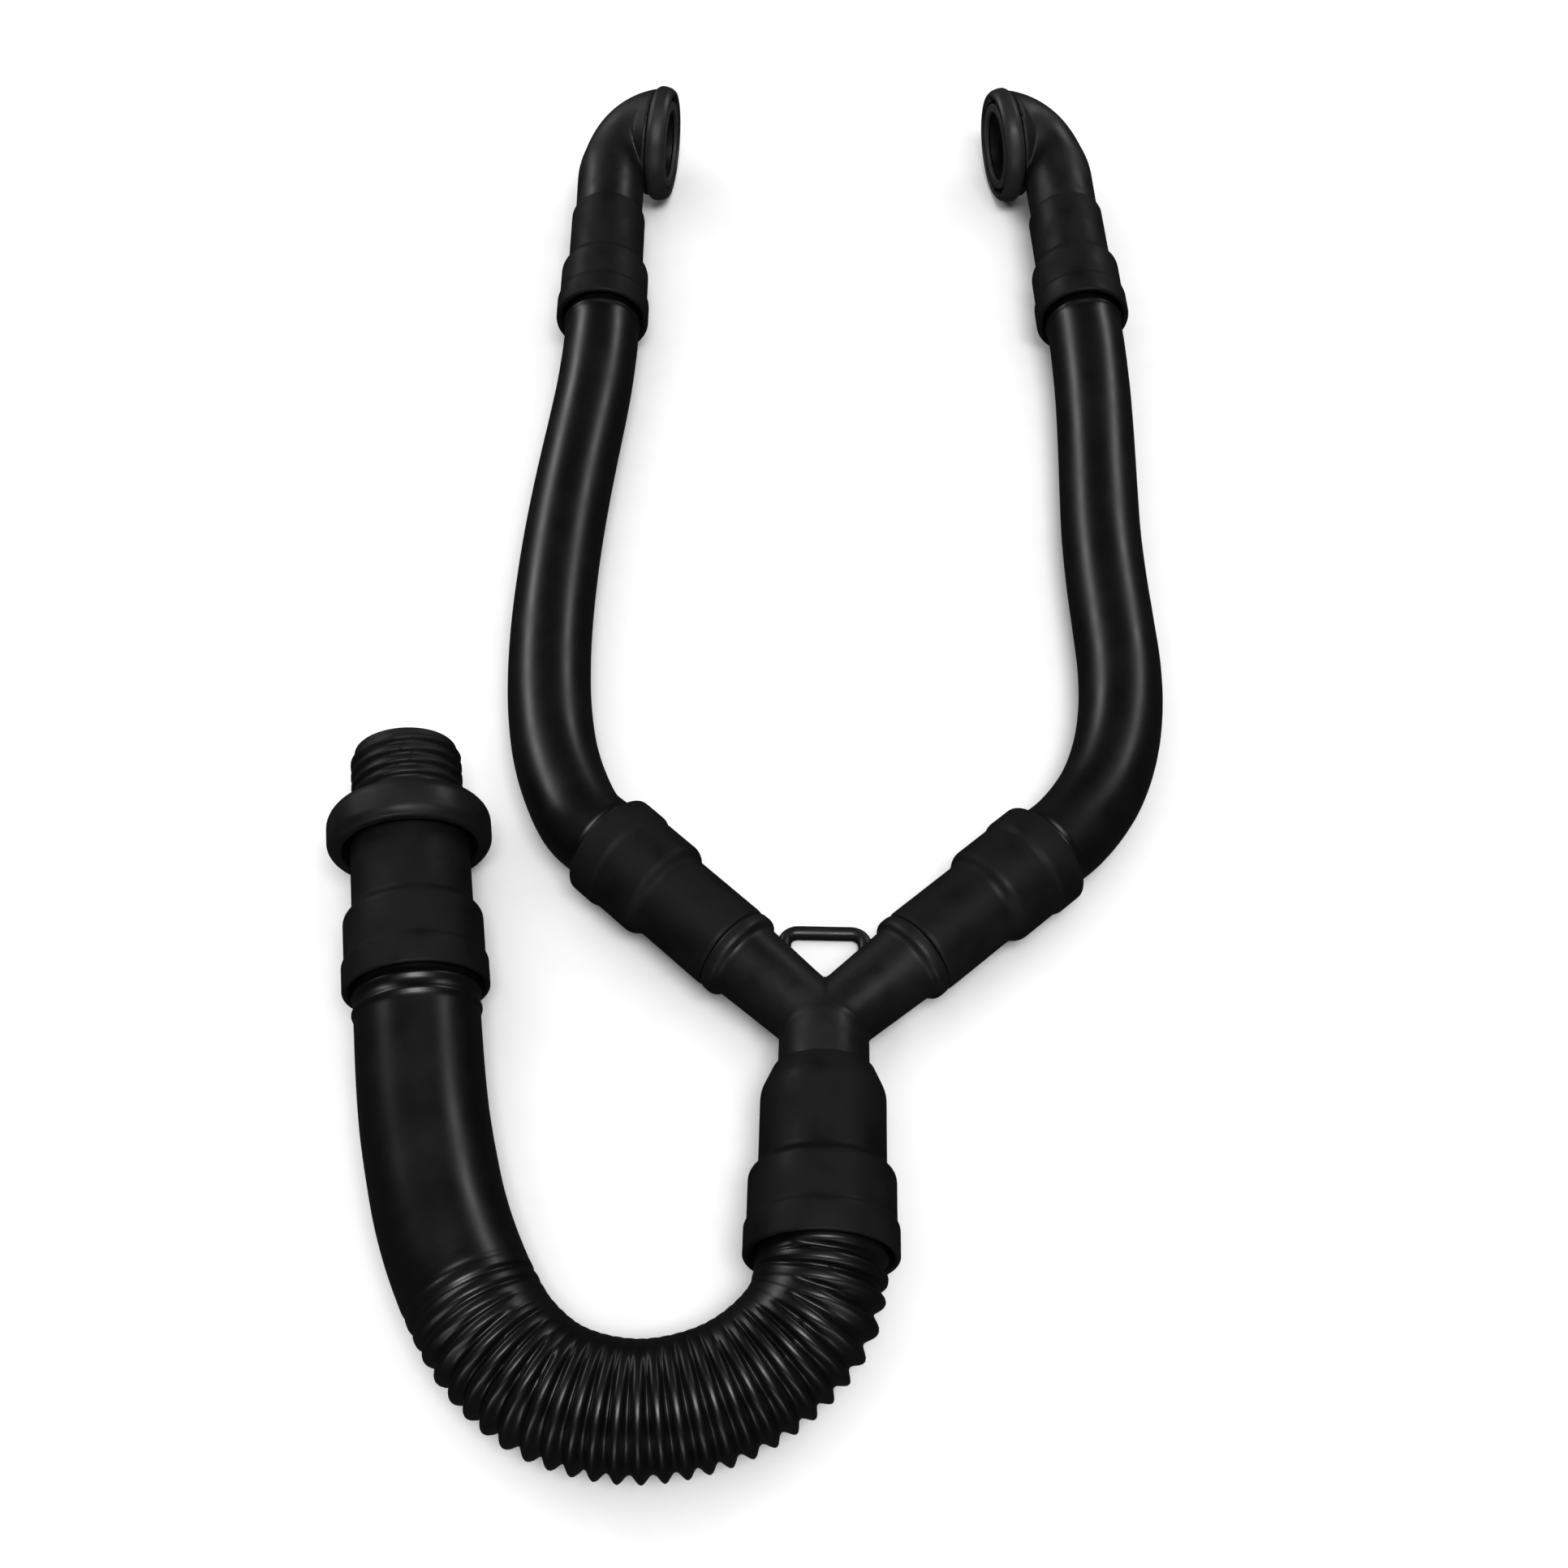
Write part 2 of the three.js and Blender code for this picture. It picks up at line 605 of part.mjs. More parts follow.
function yEnd(place) {
  const group = placed(place);
  group.add(named('y_piece', yPieceGeometry(), moulded));
  const bail = new THREE.Group();
  bail.position.set(0, BAIL.pivotY, BAIL.pivotZ);
  bail.rotation.x = -BAIL.droop * DEG;
  bail.add(named('wire_bail', bailGeometry(), steel));
  group.add(bail);
  for (const [side, sign] of [['left', 1], ['right', -1]]) {
    const arm = new THREE.Group();
    arm.rotation.z = sign * Y_PIECE.armAngle * DEG;
    const cuff = new THREE.Group();
    cuff.position.y = Y_PIECE.armReach;
    cuff.rotation.z = Math.PI;
    cuff.add(
      named(`lower_cuff_${side}`, cuffGeometry(SMALL_CUFF, BRANCH_HOSE.diameter), rubber),
      named(`lower_ferrule_${side}`, ferruleGeometry(SMALL_CUFF, BRANCH_HOSE.diameter), innerPlastic),
    );
    arm.add(cuff);
    group.add(arm);
  }
  const main = new THREE.Group();
  main.position.y = -Y_PIECE.legReach;
  main.add(
    named('main_cuff', cuffGeometry(LARGE_CUFF, MAIN_HOSE.diameter), rubber),
    named('main_ferrule', ferruleGeometry(LARGE_CUFF, MAIN_HOSE.diameter), innerPlastic),
  );
  group.add(main);
  return group;
}

// ---------------------------------------------------------------- connector
// y = 0 at the back rim of the wheel, the thread points along +Y. The wheel is a skirt round a
// web; the cuff's narrow end reaches up inside the skirt.
function couplingGeometry() {
  const { wheel, wheelWidth, recess, recessDepth, root, threadLength } = COUPLING;
  const { counterbore, webFront } = COUPLING;
  const hub = LARGE_CUFF.bore;
  const tip = wheelWidth + threadLength;
  return turned([
    [recess, 0],
    ...roundedRim(wheel, 0, WHEEL_BACK, -1),
    ...roundedRim(wheel, wheelWidth, WHEEL_FRONT, 1),
    [root, wheelWidth],
    ...crestCorners(),
    [root, tip - TIP_CHAMFER],
    [root - TIP_CHAMFER, tip],
    [counterbore, tip],
    [counterbore, webFront],
    [hub, webFront],
    [hub, recessDepth],
    [recess, recessDepth],
  ], ROUND_FINE);
}

// The coarse thread, as one ring for each turn.
function crestCorners() {
  const { wheelWidth, firstTurn, pitch, turns, root, thread, crestSlope, crestFlat } = COUPLING;
  const corners = [];
  for (let i = 0; i < turns; i += 1) {
    const start = wheelWidth + firstTurn + i * pitch;
    const top = start + crestSlope;
    const end = top + crestFlat;
    corners.push([root, start], [thread, top], [thread, end], [root, end + crestSlope]);
  }
  return corners;
}

// The tube that the wheel turns on. Its front flange sits in the wheel's counterbore.
function stemGeometry() {
  const spigot = spigotDiameter(LARGE_CUFF);
  const bore = spigot - 2 * SPIGOT_WALL;
  const back = CUFF_IN_WHEEL - spigotReach(LARGE_CUFF);
  const flange = COUPLING.counterbore - 2 * FIT;
  const flangeBack = COUPLING.webFront + FIT;
  const flangeFront = flangeBack + STEM_FLANGE.width;
  const front = COUPLING.wheelWidth + COUPLING.threadLength - STEM_FLANGE.setBack;
  return turned([
    [bore, back],
    [spigot, back],
    [spigot, flangeBack],
    [flange, flangeBack],
    [flange, flangeFront],
    [spigot, flangeFront + STEM_FLANGE.slope],
    [spigot, front],
    [bore, front],
  ], ROUND);
}

function sealGeometry() {
  const { section, inside } = SEAL;
  const middle = (inside + section) / 2;
  const ring = new THREE.TorusGeometry(middle, section / 2, 8, ROUND);
  ring.rotateX(90 * DEG);
  ring.translate(0, COUPLING.wheelWidth + FIT + section / 2, 0);
  return weld(ring);
}

function slipWasherGeometry() {
  const front = COUPLING.recessDepth - FIT;
  const back = front - SLIP_WASHER.thickness;
  return turned([
    [LARGE_CUFF.bore, back],
    [SLIP_WASHER.outside, back],
    [SLIP_WASHER.outside, front],
    [LARGE_CUFF.bore, front],
  ], ROUND);
}

function connectorEnd(place) {
  const group = placed(place);
  group.add(
    named('coupling_ring', couplingGeometry(), moulded),
    named('connector_stem', stemGeometry(), innerPlastic),
    named('thread_seal', sealGeometry(), sealRubber),
    named('slip_washer', slipWasherGeometry(), innerPlastic),
  );
  const cuff = new THREE.Group();
  cuff.position.y = CUFF_IN_WHEEL;
  cuff.add(
    named('connector_cuff', cuffGeometry(LARGE_CUFF, MAIN_HOSE.diameter), rubber),
    named('connector_ferrule', ferruleGeometry(LARGE_CUFF, MAIN_HOSE.diameter), innerPlastic),
  );
  group.add(cuff);
  return group;
}

// ---------------------------------------------------------------- hoses
// A round section swept along a curve, flat-ended.
function sweptRound(curve, diameter, sides, steps) {
  const section = new THREE.Shape();
  for (let i = 0; i < sides; i += 1) {
    const angle = ((i + 0.5) * 2 * Math.PI) / sides;
    const x = (diameter / 2) * Math.cos(angle);
    const y = (diameter / 2) * Math.sin(angle);
    if (i === 0) section.moveTo(x, y);
    else section.lineTo(x, y);
  }
  section.closePath();
  return weld(new THREE.ExtrudeGeometry(section, { steps, extrudePath: curve, bevelEnabled: false }));
}

function hose(name, route, { diameter, sides, steps }) {
  const curve = new THREE.CatmullRomCurve3(route.map((p) => new THREE.Vector3(...p)), false, 'centripetal');
  return named(name, sweptRound(curve, diameter, sides, steps), hoseSkin);
}

// ---------------------------------------------------------------- the whole hose
const model = new THREE.Group();
model.add(
  upperEnd('left', PLACES.elbowLeft),
  upperEnd('right', PLACES.elbowRight),
  yEnd(PLACES.yPiece),
  connectorEnd(PLACES.connector),
  hose('branch_hose_left', BRANCH_LEFT_ROUTE, BRANCH_HOSE),
  hose('branch_hose_right', BRANCH_RIGHT_ROUTE, BRANCH_HOSE),
  hose('main_hose', MAIN_ROUTE, MAIN_HOSE),
);

export default model;
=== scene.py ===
"""Looks for a twin-branch breathing hose that lies on a table: two port elbows, two branch hoses,
a Y-piece with a wire bail, and a ribbed main hose that ends in a threaded swivel connector.

Shapes are worked out in millimetres in each part's own frame, where +Y runs along the part and
+Z is up, and are then placed in the CAD frame and scaled to metres.
"""

import math

import bpy
import numpy as np
from mathutils import Matrix


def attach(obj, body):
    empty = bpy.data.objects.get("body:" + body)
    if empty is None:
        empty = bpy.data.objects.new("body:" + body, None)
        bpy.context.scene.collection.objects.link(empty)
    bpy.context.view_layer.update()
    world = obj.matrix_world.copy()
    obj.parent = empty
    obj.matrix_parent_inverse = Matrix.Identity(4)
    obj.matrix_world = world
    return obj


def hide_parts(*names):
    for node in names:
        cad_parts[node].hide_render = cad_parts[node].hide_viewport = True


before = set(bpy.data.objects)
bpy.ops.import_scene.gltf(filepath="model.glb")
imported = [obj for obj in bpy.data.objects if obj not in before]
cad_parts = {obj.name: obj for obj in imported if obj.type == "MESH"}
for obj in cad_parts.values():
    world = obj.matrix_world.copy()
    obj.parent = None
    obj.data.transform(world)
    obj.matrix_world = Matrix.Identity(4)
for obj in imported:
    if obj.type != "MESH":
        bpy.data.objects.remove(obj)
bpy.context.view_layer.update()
MM = 0.001

# ---------------------------------------------------------------- dimensions, in millimetres
GAP = 0.3  # between two parts that touch
HOSE_GAP = 0.8  # between a hose and the cuff round it
SMALL_CUFF = dict(length=61.8, narrow=32.3, narrow_length=31, wide=37.6, rim=39.4, bore=28.6, cone=1.5)
LARGE_CUFF = dict(length=64.7, narrow=41.5, narrow_length=34.6, wide=47.8, rim=49.7, bore=31, cone=9)
CUFF_STEP = 3
RIM_LENGTH = 11
HOSE_SHELF = 2
FERRULE_FLANGE = 3
FERRULE_NECK = 8
FERRULE_WALL = 1.5
RING_HEIGHT = 0.7  # the raised rings on a hose just outside its cuff
RING_WIDTH = 1.3
SPIGOT_WALL = 2.1
SPIGOT_PAST = 1.5  # how far a spigot reaches past the narrow part of its cuff
CUT_PAST = 5  # how far a cutter reaches past the end of what it cuts
BRANCH_HOSE = 31.4
BRANCH_WALL = 2.2
BRANCH_RING = 2.2  # from the mouth of a cuff to the middle of the raised ring
MAIN_HOSE = 42.2
MAIN_WALL = 3.6
MAIN_RINGS = (2.4, 8)
MAIN_RIBS = dict(start=122, full=160, pitch=5.3, deepest=2.9, shallowest=0.15, bend=1.6)
ELBOW = dict(shoulder=29.4, cuff_top=-48.2, across=16.7, along=25.7, turn=95.2, length=34,
             tube=29.8, bell=47)
PORT = dict(ledge=3.6, spigot_face=6.5, face=8.8, bore=29.4, bore_step=2)
LIP = dict(diameter=46, root=38, length=6.5, edge=1.6)
INNER_REACH = 0.8  # how near the inside of the bend comes to the middle of its curve
LOCK_RING = dict(diameter=50, spigot=38.4, recess=43)
LUG = dict(count=3, in_wall=1, reach=2, half_angle=17, thickness=1.6, slope=0.5, below_face=0.4)
CLIP = dict(thickness=1.2, groove=1.5, groove_depth=1, opening=24, edge=0.25)
GASKET = dict(inside=30.4, middle=33.9, outside=37.4, height=1.8, dip=0.4)
Y_PIECE = dict(arm=25, arm_end=28, leg=30.4, angle=47.3, arm_reach=43.5, leg_reach=16.2,
               stop=32.4, stop_length=4.4)
BAIL = dict(wire=5, half_width=14.4, reach=41.6, corner=5, end_gap=0.6, pivot_y=6, pivot_z=-16,
            droop=3.6)
BAIL_LUG = dict(half_width=6, radius=4.3, hole=5.5, root_z=-7)
COUPLING = dict(wheel=57.4, width=15.7, thread=39.3, root=36.4, thread_length=24.6, pitch=4.6,
                counterbore=33.6, recess=47, recess_depth=13, web_front=15)
THREAD = dict(first=4.2, last_from_tip=1.6, run_in=1, fade=2.5, crest=1.75, flank=4.6)
WASHER = dict(thickness=1.2, inside=31, outside=40)
THREAD_SEAL = dict(inside=37, section=2.4)
CUFF_IN_WHEEL = COUPLING["recess_depth"] - WASHER["thickness"] - 2 * GAP
PATCH_SIZE = 14  # the broad patches in every material
NOISE_LOW = 0.3  # the middle range of a noise, which the ramps stretch
NOISE_HIGH = 0.7

# Places of the rigid groups: position, lean about Z and tilt about X, in degrees.
PLACES = {
    "elbow_left": ((-71.6, 251.8, 26), 0, 2.8),
    "elbow_right": ((129.4, 251.8, 26), 3, 2.8),
    "y_piece": ((20.1, -194.3, 22.6), -1.3, -1.8),
    "connector": ((-124.7, -129, 28.7), 7.6, 3.8),
}

# Centre lines of the three hoses, from the seat inside one cuff to the seat inside the other.
LEFT_ROUTE = [
    (-71.6, 167.1, 21.9), (-71.6, 153.7, 21.2), (-71.6, 140.2, 20.5), (-71.6, 128.2, 20),
    (-73.2, 106.4, 17.8), (-75.3, 87.4, 16.6), (-77.6, 67.4, 16.1), (-79.6, 47.4, 16.1),
    (-81.4, 25.4, 16.1), (-82.6, 3.4, 16.1), (-83.2, -18.6, 16.1), (-82.8, -40.6, 16.1),
    (-81.2, -60.6, 16.2), (-78, -79.4, 16.9), (-72.8, -96.4, 18.4), (-65.5, -111.7, 20),
    (-56.9, -120, 20.2), (-47.2, -129.3, 20.5), (-37.5, -138.7, 20.8),
]
RIGHT_ROUTE = [
    (133.8, 167.2, 21.9), (134.5, 153.8, 21.2), (135.2, 140.4, 20.5), (135.9, 128.4, 20),
    (136.4, 106.4, 17.8), (136.1, 87.4, 16.6), (135.3, 67.4, 16.1), (134.3, 47.4, 16.1),
    (133.4, 25.4, 16.1), (133.4, 3.4, 16.1), (134, -18.6, 16.1), (134.4, -40.6, 16.1),
    (132.9, -60.6, 16.2), (128.6, -80.6, 16.9), (120.9, -99.4, 18.4), (109.4, -115.6, 20),
    (100.4, -123.6, 20.2), (90.3, -132.5, 20.5), (80.2, -141.4, 20.8),
]
MAIN_ROUTE = [
    (-120.9, -157.7, 26.8), (-119, -171.5, 25.9), (-117.2, -185.4, 24.9), (-115.6, -197.2, 24.1),
    (-113.2, -213.6, 22.9), (-110.5, -228.6, 22), (-106.9, -243.6, 21.5), (-102.6, -258.6, 21.4),
    (-97, -273.1, 21.4), (-89.8, -287.6, 21.4), (-80.4, -301.8, 21.4), (-63.4, -315.2, 21.4),
    (-37.8, -321, 21.4), (-12.2, -315.8, 21.5), (4.9, -305, 22.6), (15.2, -292.2, 24.4),
    (18.2, -278.6, 25.2), (18.5, -264.6, 24.7), (18.8, -250.7, 24.3),
]


# ---------------------------------------------------------------- camera
def add_camera():
    """Looks down at 57 degrees, with +Y up the picture."""
    data = bpy.data.cameras.new("camera")
    data.lens = 44.82
    data.sensor_width = 36
    data.clip_start = 0.01
    camera = bpy.data.objects.new("camera", data)
    camera.location = (0.0066, -0.4826, 0.6168)
    camera.rotation_euler = (math.radians(33), 0, 0)
    bpy.context.scene.collection.objects.link(camera)
    bpy.context.scene.camera = camera


# ---------------------------------------------------------------- mesh helpers
def place(name):
    """The matrix of one rigid group, in millimetres."""
    at, lean, tilt = PLACES[name]
    turn = Matrix.Rotation(math.radians(lean), 4, "Z") @ Matrix.Rotation(math.radians(tilt), 4, "X")
    return Matrix.Translation(at) @ turn


def moved(points, matrix):
    """The points, put through a 4x4 matrix."""
    m = np.array(matrix)
    return points @ m[:3, :3].T + m[:3, 3]


def new_object(name, points, faces, matrix=None):
    """A mesh object at the origin, from points in millimetres."""
    if matrix is not None:
        points = moved(points, matrix)
    mesh = bpy.data.meshes.new(name)
    mesh.from_pydata([tuple(p) for p in points * MM], [], [tuple(f) for f in faces])
    mesh.validate()
    obj = bpy.data.objects.new(name, mesh)
    bpy.context.scene.collection.objects.link(obj)
    return obj


def smooth(obj, angle=35):
    """Smooth shading, with edges sharper than the angle left sharp."""
    mesh = obj.data
    mesh.shade_smooth()
    mesh.set_sharp_from_angle(angle=math.radians(angle))


def finished(obj, body, slot, material, *nodes, angle=35):
    """Gives a piece its material and its body, and hides the CAD nodes that it stands for. The slot is
    not used.
    """
    smooth(obj, angle)
    obj.data.materials.clear()
    obj.data.materials.append(material)
    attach(obj, body)
    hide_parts(*nodes)
    return obj


def rounded(corners, steps=5):
    """A closed outline with its corners rounded. Each corner is (diameter, y) or (diameter, y,
    radius), and the outline is returned as (radius from the axis, y) points."""
    points = [np.array([c[0] / 2, c[1]], float) for c in corners]
    outline = []
    for i, corner in enumerate(corners):
        here = points[i]
        before = points[i - 1] - here
        after = points[(i + 1) % len(points)] - here
        size = corner[2] if len(corner) > 2 else 0
        reach = min(size, 0.45 * np.linalg.norm(before), 0.45 * np.linalg.norm(after))
        if reach <= 0:
            outline.append(here)
            continue
        start = here + before / np.linalg.norm(before) * reach
        end = here + after / np.linalg.norm(after) * reach
        for t in np.linspace(0, 1, steps):
            outline.append((1 - t) ** 2 * start + 2 * t * (1 - t) * here + t * t * end)
    return np.array(outline)


def turned(outline, sides=96, closed=True):
    """Points and faces of an outline turned about the Y axis."""
    angles = np.arange(sides) * 2 * math.pi / sides
    count = len(outline)
    points = np.empty((count, sides, 3))
    points[:, :, 0] = outline[:, :1] * np.sin(angles)
    points[:, :, 1] = outline[:, 1:]
    points[:, :, 2] = outline[:, :1] * np.cos(angles)
    return points.reshape(-1, 3), grid_faces(count, sides, closed)


def grid_faces(rings, sides, closed):
    """Quads between rings of points; closed joins the last ring to the first."""
    faces = []
    for i in range(rings if closed else rings - 1):
        near = i * sides
        far = ((i + 1) % rings) * sides
        for j in range(sides):
            k = (j + 1) % sides
            faces.append((near + j, far + j, far + k, near + k))
    return faces


def faces_out(obj):
    """Turns every face of a closed mesh outwards."""
    bpy.ops.object.select_all(action="DESELECT")
    bpy.context.view_layer.objects.active = obj
    obj.select_set(True)
    bpy.ops.object.mode_set(mode="EDIT")
    bpy.ops.mesh.select_all(action="SELECT")
    bpy.ops.mesh.remove_doubles(threshold=1e-6)
    bpy.ops.mesh.normals_make_consistent(inside=False)
    bpy.ops.object.mode_set(mode="OBJECT")
    obj.select_set(False)


def turned_object(name, corners, matrix, sides=96):
    """A closed ring of the given corners, turned about its own Y axis."""
    obj = new_object(name, *turned(rounded(corners), sides), matrix)
    faces_out(obj)
    return obj


def solid_object(name, corners, matrix=None, sides=96):
    """A solid turned from an outline that starts and ends on the axis."""
    obj = new_object(name, *turned(rounded(corners), sides, closed=False), matrix)
    faces_out(obj)
    return obj


def apply_modifiers(obj):
    bpy.context.view_layer.objects.active = obj
    for modifier in list(obj.modifiers):
        bpy.ops.object.modifier_apply(modifier=modifier.name)


def boolean(obj, other, operation):
    """obj joined with, or cut by, other, which is then removed."""
    modifier = obj.modifiers.new("boolean", "BOOLEAN")
    modifier.operation = operation
    modifier.solver = "EXACT"
    modifier.object = other
    apply_modifiers(obj)
    bpy.data.objects.remove(other)


def remeshed(obj, voxel):
    """One closed skin of small even quads round everything in the object."""
    modifier = obj.modifiers.new("remesh", "REMESH")
    modifier.mode = "VOXEL"
    modifier.voxel_size = voxel * MM
    apply_modifiers(obj)


def relaxed(obj, rounds):
    """Evens out the steps that a voxel remesh leaves."""
    modifier = obj.modifiers.new("smooth", "SMOOTH")
    modifier.iterations = rounds
    modifier.factor = 0.5
    apply_modifiers(obj)


# ---------------------------------------------------------------- materials
def node_material(
    name, colour, roughness, grain, bump, patch=0.25, tint=0.2, metallic=0.0, ior=1.5
):
    """A moulded surface: fine grain in the bump, and broad soft patches in the roughness and the
    colour. Grain is in millimetres, bump in hundredths of a millimetre."""
    material = bpy.data.materials.new(name)
    material.use_nodes = True
    nodes = material.node_tree.nodes
    links = material.node_tree.links
    shader = nodes["Principled BSDF"]
    shader.inputs["Metallic"].default_value = metallic
    shader.inputs["IOR"].default_value = ior
    place_node = nodes.new("ShaderNodeTexCoord")
    patches = noise(nodes, links, place_node, PATCH_SIZE, detail=3)
    specks = noise(nodes, links, place_node, grain, detail=2)
    rough = ramp(nodes, links, patches, roughness * (1 - patch), roughness * (1 + patch))
    links.new(rough, shader.inputs["Roughness"])
    darker = [c * (1 - tint) for c in colour]
    lighter = [c * (1 + tint) for c in colour]
    links.new(colour_ramp(nodes, links, patches, darker, lighter), shader.inputs["Base Color"])
    bumps = nodes.new("ShaderNodeBump")
    bumps.inputs["Strength"].default_value = 1
    bumps.inputs["Distance"].default_value = bump * 0.01 * MM
    links.new(specks, bumps.inputs["Height"])
    links.new(bumps.outputs["Normal"], shader.inputs["Normal"])
    return material


def noise(nodes, links, place_node, size, detail):
    """Noise whose blotches are about size millimetres wide."""
    node = nodes.new("ShaderNodeTexNoise")
    node.inputs["Scale"].default_value = 1 / (size * MM)
    node.inputs["Detail"].default_value = detail
    links.new(place_node.outputs["Object"], node.inputs["Vector"])
    return node.outputs["Fac"]


def ramp(nodes, links, value, low, high):
    """The noise, whose middle range is stretched from low to high."""
    node = nodes.new("ShaderNodeMapRange")
    node.inputs["From Min"].default_value = NOISE_LOW
    node.inputs["From Max"].default_value = NOISE_HIGH
    node.inputs["To Min"].default_value = low
    node.inputs["To Max"].default_value = high
    links.new(value, node.inputs["Value"])
    return node.outputs["Result"]


def colour_ramp(nodes, links, value, low, high):
    """The same for a colour."""
    node = nodes.new("ShaderNodeValToRGB")
    node.color_ramp.elements[0].position = NOISE_LOW
    node.color_ramp.elements[1].position = NOISE_HIGH
    node.color_ramp.elements[0].color = (*low, 1)
    node.color_ramp.elements[1].color = (*high, 1)
    links.new(value, node.inputs["Fac"])
    return node.outputs["Color"]


def hose_rubber():
    """Smooth and shiny."""
    colour = (0.0016, 0.0016, 0.0015)
    return node_material("hose_rubber", colour, roughness=0.36, grain=0.6, bump=0.5, patch=0.1)


def cuff_rubber():
    """Matte."""
    colour = (0.0032, 0.0032, 0.0033)
    return node_material("cuff_rubber", colour, roughness=0.6, grain=0.35, bump=2.0, ior=1.3)


def moulded_plastic():
    """The satin plastic of the elbows, the Y-piece and the coupling wheel."""
    colour = (0.0036, 0.0036, 0.0037)
    return node_material("moulded_plastic", colour, roughness=0.5, grain=0.45, bump=0.9, ior=1.42)


def ring_plastic():
    """The lock rings' own finish, a little lighter than the elbows."""
    colour = (0.013, 0.013, 0.0132)
    return node_material("ring_plastic", colour, roughness=0.45, grain=0.45, bump=0.9, ior=1.42)


def inner_plastic():
    """The plastic of the ferrules, the stem and the washer."""
    return node_material("inner_plastic", (0.008, 0.008, 0.0084), roughness=0.5, grain=0.5, bump=1.5)


def seal_rubber():
    """The rubber of the gaskets and the thread's seal."""
    return node_material("seal_rubber", (0.02, 0.02, 0.02), roughness=0.55, grain=0.3, bump=2.0)


def clip_steel():
    """Plain spring steel."""
    colour = (0.3, 0.3, 0.31)
    return node_material("clip_steel", colour, roughness=0.35, grain=0.2, bump=0.6, metallic=1.0)


def bail_paint():
    """The coating on the bail's wire."""
    return node_material("bail_paint", (0.005, 0.005, 0.0052), roughness=0.4, grain=0.5, bump=2.0)


def floor_paper():
    """Matte white."""
    colour = (0.82, 0.82, 0.82)
    return node_material(
        "floor_paper", colour, roughness=0.9, grain=2.0, bump=0.5, patch=0.02, tint=0.01
    )


# ---------------------------------------------------------------- hoses
def smooth_route(route, step):
    """Centripetal Catmull-Rom curve through the points, cut into even steps."""
    points = np.array(route, float)
    points = np.vstack([2 * points[0] - points[1], points, 2 * points[-1] - points[-2]])
    dense = []
    for controls in zip(points, points[1:], points[2:], points[3:]):
        spans = [np.linalg.norm(q - p) ** 0.5 for p, q in zip(controls, controls[1:])]
        knots = np.cumsum([0] + spans)
        for t in np.linspace(knots[1], knots[2], 80, endpoint=False):
            dense.append(spline_point(controls, knots, t))
    dense.append(points[-2])
    dense = np.array(dense)
    reach = np.concatenate([[0], np.cumsum(np.linalg.norm(np.diff(dense, axis=0), axis=1))])
    count = int(round(reach[-1] / step)) + 1
    even = np.linspace(0, reach[-1], count)
    line = np.stack([np.interp(even, reach, dense[:, k]) for k in range(3)], axis=1)
    return line, even


def spline_point(controls, knots, t):
    """One point of a Catmull-Rom span, by repeated interpolation between its four controls."""

    def between(near, far, low, high):
        span = knots[high] - knots[low]
        return ((knots[high] - t) * near + (t - knots[low]) * far) / span

    first, second, third = (between(controls[i], controls[i + 1], i, i + 1) for i in range(3))
    early = between(first, second, 0, 2)
    late = between(second, third, 1, 3)
    return between(early, late, 1, 2)


def ribs(distance, pitch, sharpness):
    """1 on the crest of each rib and 0 at the bottom of each groove."""
    return (0.5 + 0.5 * np.cos(2 * math.pi * distance / pitch)) ** sharpness


def faded(distance, start, end):
    """0 before start, 1 after end, and smooth between them."""
    t = np.clip((distance - start) / (end - start), 0, 1)
    return t * t * (3 - 2 * t)


def hose(name, route, diameter, wall, step, sides, surface):
    """A hollow hose. surface(distance, angle, turn) says how far each point of the skin lies below
    the full radius: angle 0 is up, and turn is how sharply the hose curves to its own left."""
    line, distance = smooth_route(route, step)
    along = np.gradient(line, axis=0)
    along /= np.linalg.norm(along, axis=1)[:, None]
    side = np.cross(along, (0, 0, 1))
    side /= np.linalg.norm(side, axis=1)[:, None]
    up = np.cross(side, along)
    turn = -np.einsum("ij,ij->i", np.gradient(along, axis=0) / step, side)
    angles = np.arange(sides) * 2 * math.pi / sides
    radius = diameter / 2 - surface(distance[:, None], angles[None, :], turn[:, None])
    spoke = side[:, None] * np.sin(angles)[:, None] + up[:, None] * np.cos(angles)[:, None]
    skin = line[:, None] + spoke * radius[:, :, None]
    inner_rows = list(range(0, len(line) - 1, 8)) + [len(line) - 1]
    inner = line[inner_rows][:, None] + spoke[inner_rows] * (diameter / 2 - wall)
    points = np.concatenate([skin.reshape(-1, 3), inner[::-1].reshape(-1, 3)])
    rings = len(line) + len(inner_rows)
    obj = new_object(name, points, grid_faces(rings, sides, closed=True))
    faces_out(obj)
    return obj, line


def end_rings(distance, total, rings):
    """How far the hose swells in raised rings just outside the mouths of its two cuffs."""
    from_end = np.minimum(distance, total - distance)
    return sum(RING_HEIGHT * np.exp(-((from_end - at) / RING_WIDTH) ** 2) for at in rings)


def mouth_distance(cuff):
    """From a hose's seat inside a cuff to the cuff's mouth."""
    return cuff["length"] - cuff["narrow_length"] - HOSE_SHELF - FERRULE_FLANGE - 2 * GAP


def branch_surface(distance, angle, turn):
    """A smooth skin with one raised ring at each cuff."""
    mouth = mouth_distance(SMALL_CUFF)
    return 0 * angle - end_rings(distance, distance.max(), [mouth + BRANCH_RING])


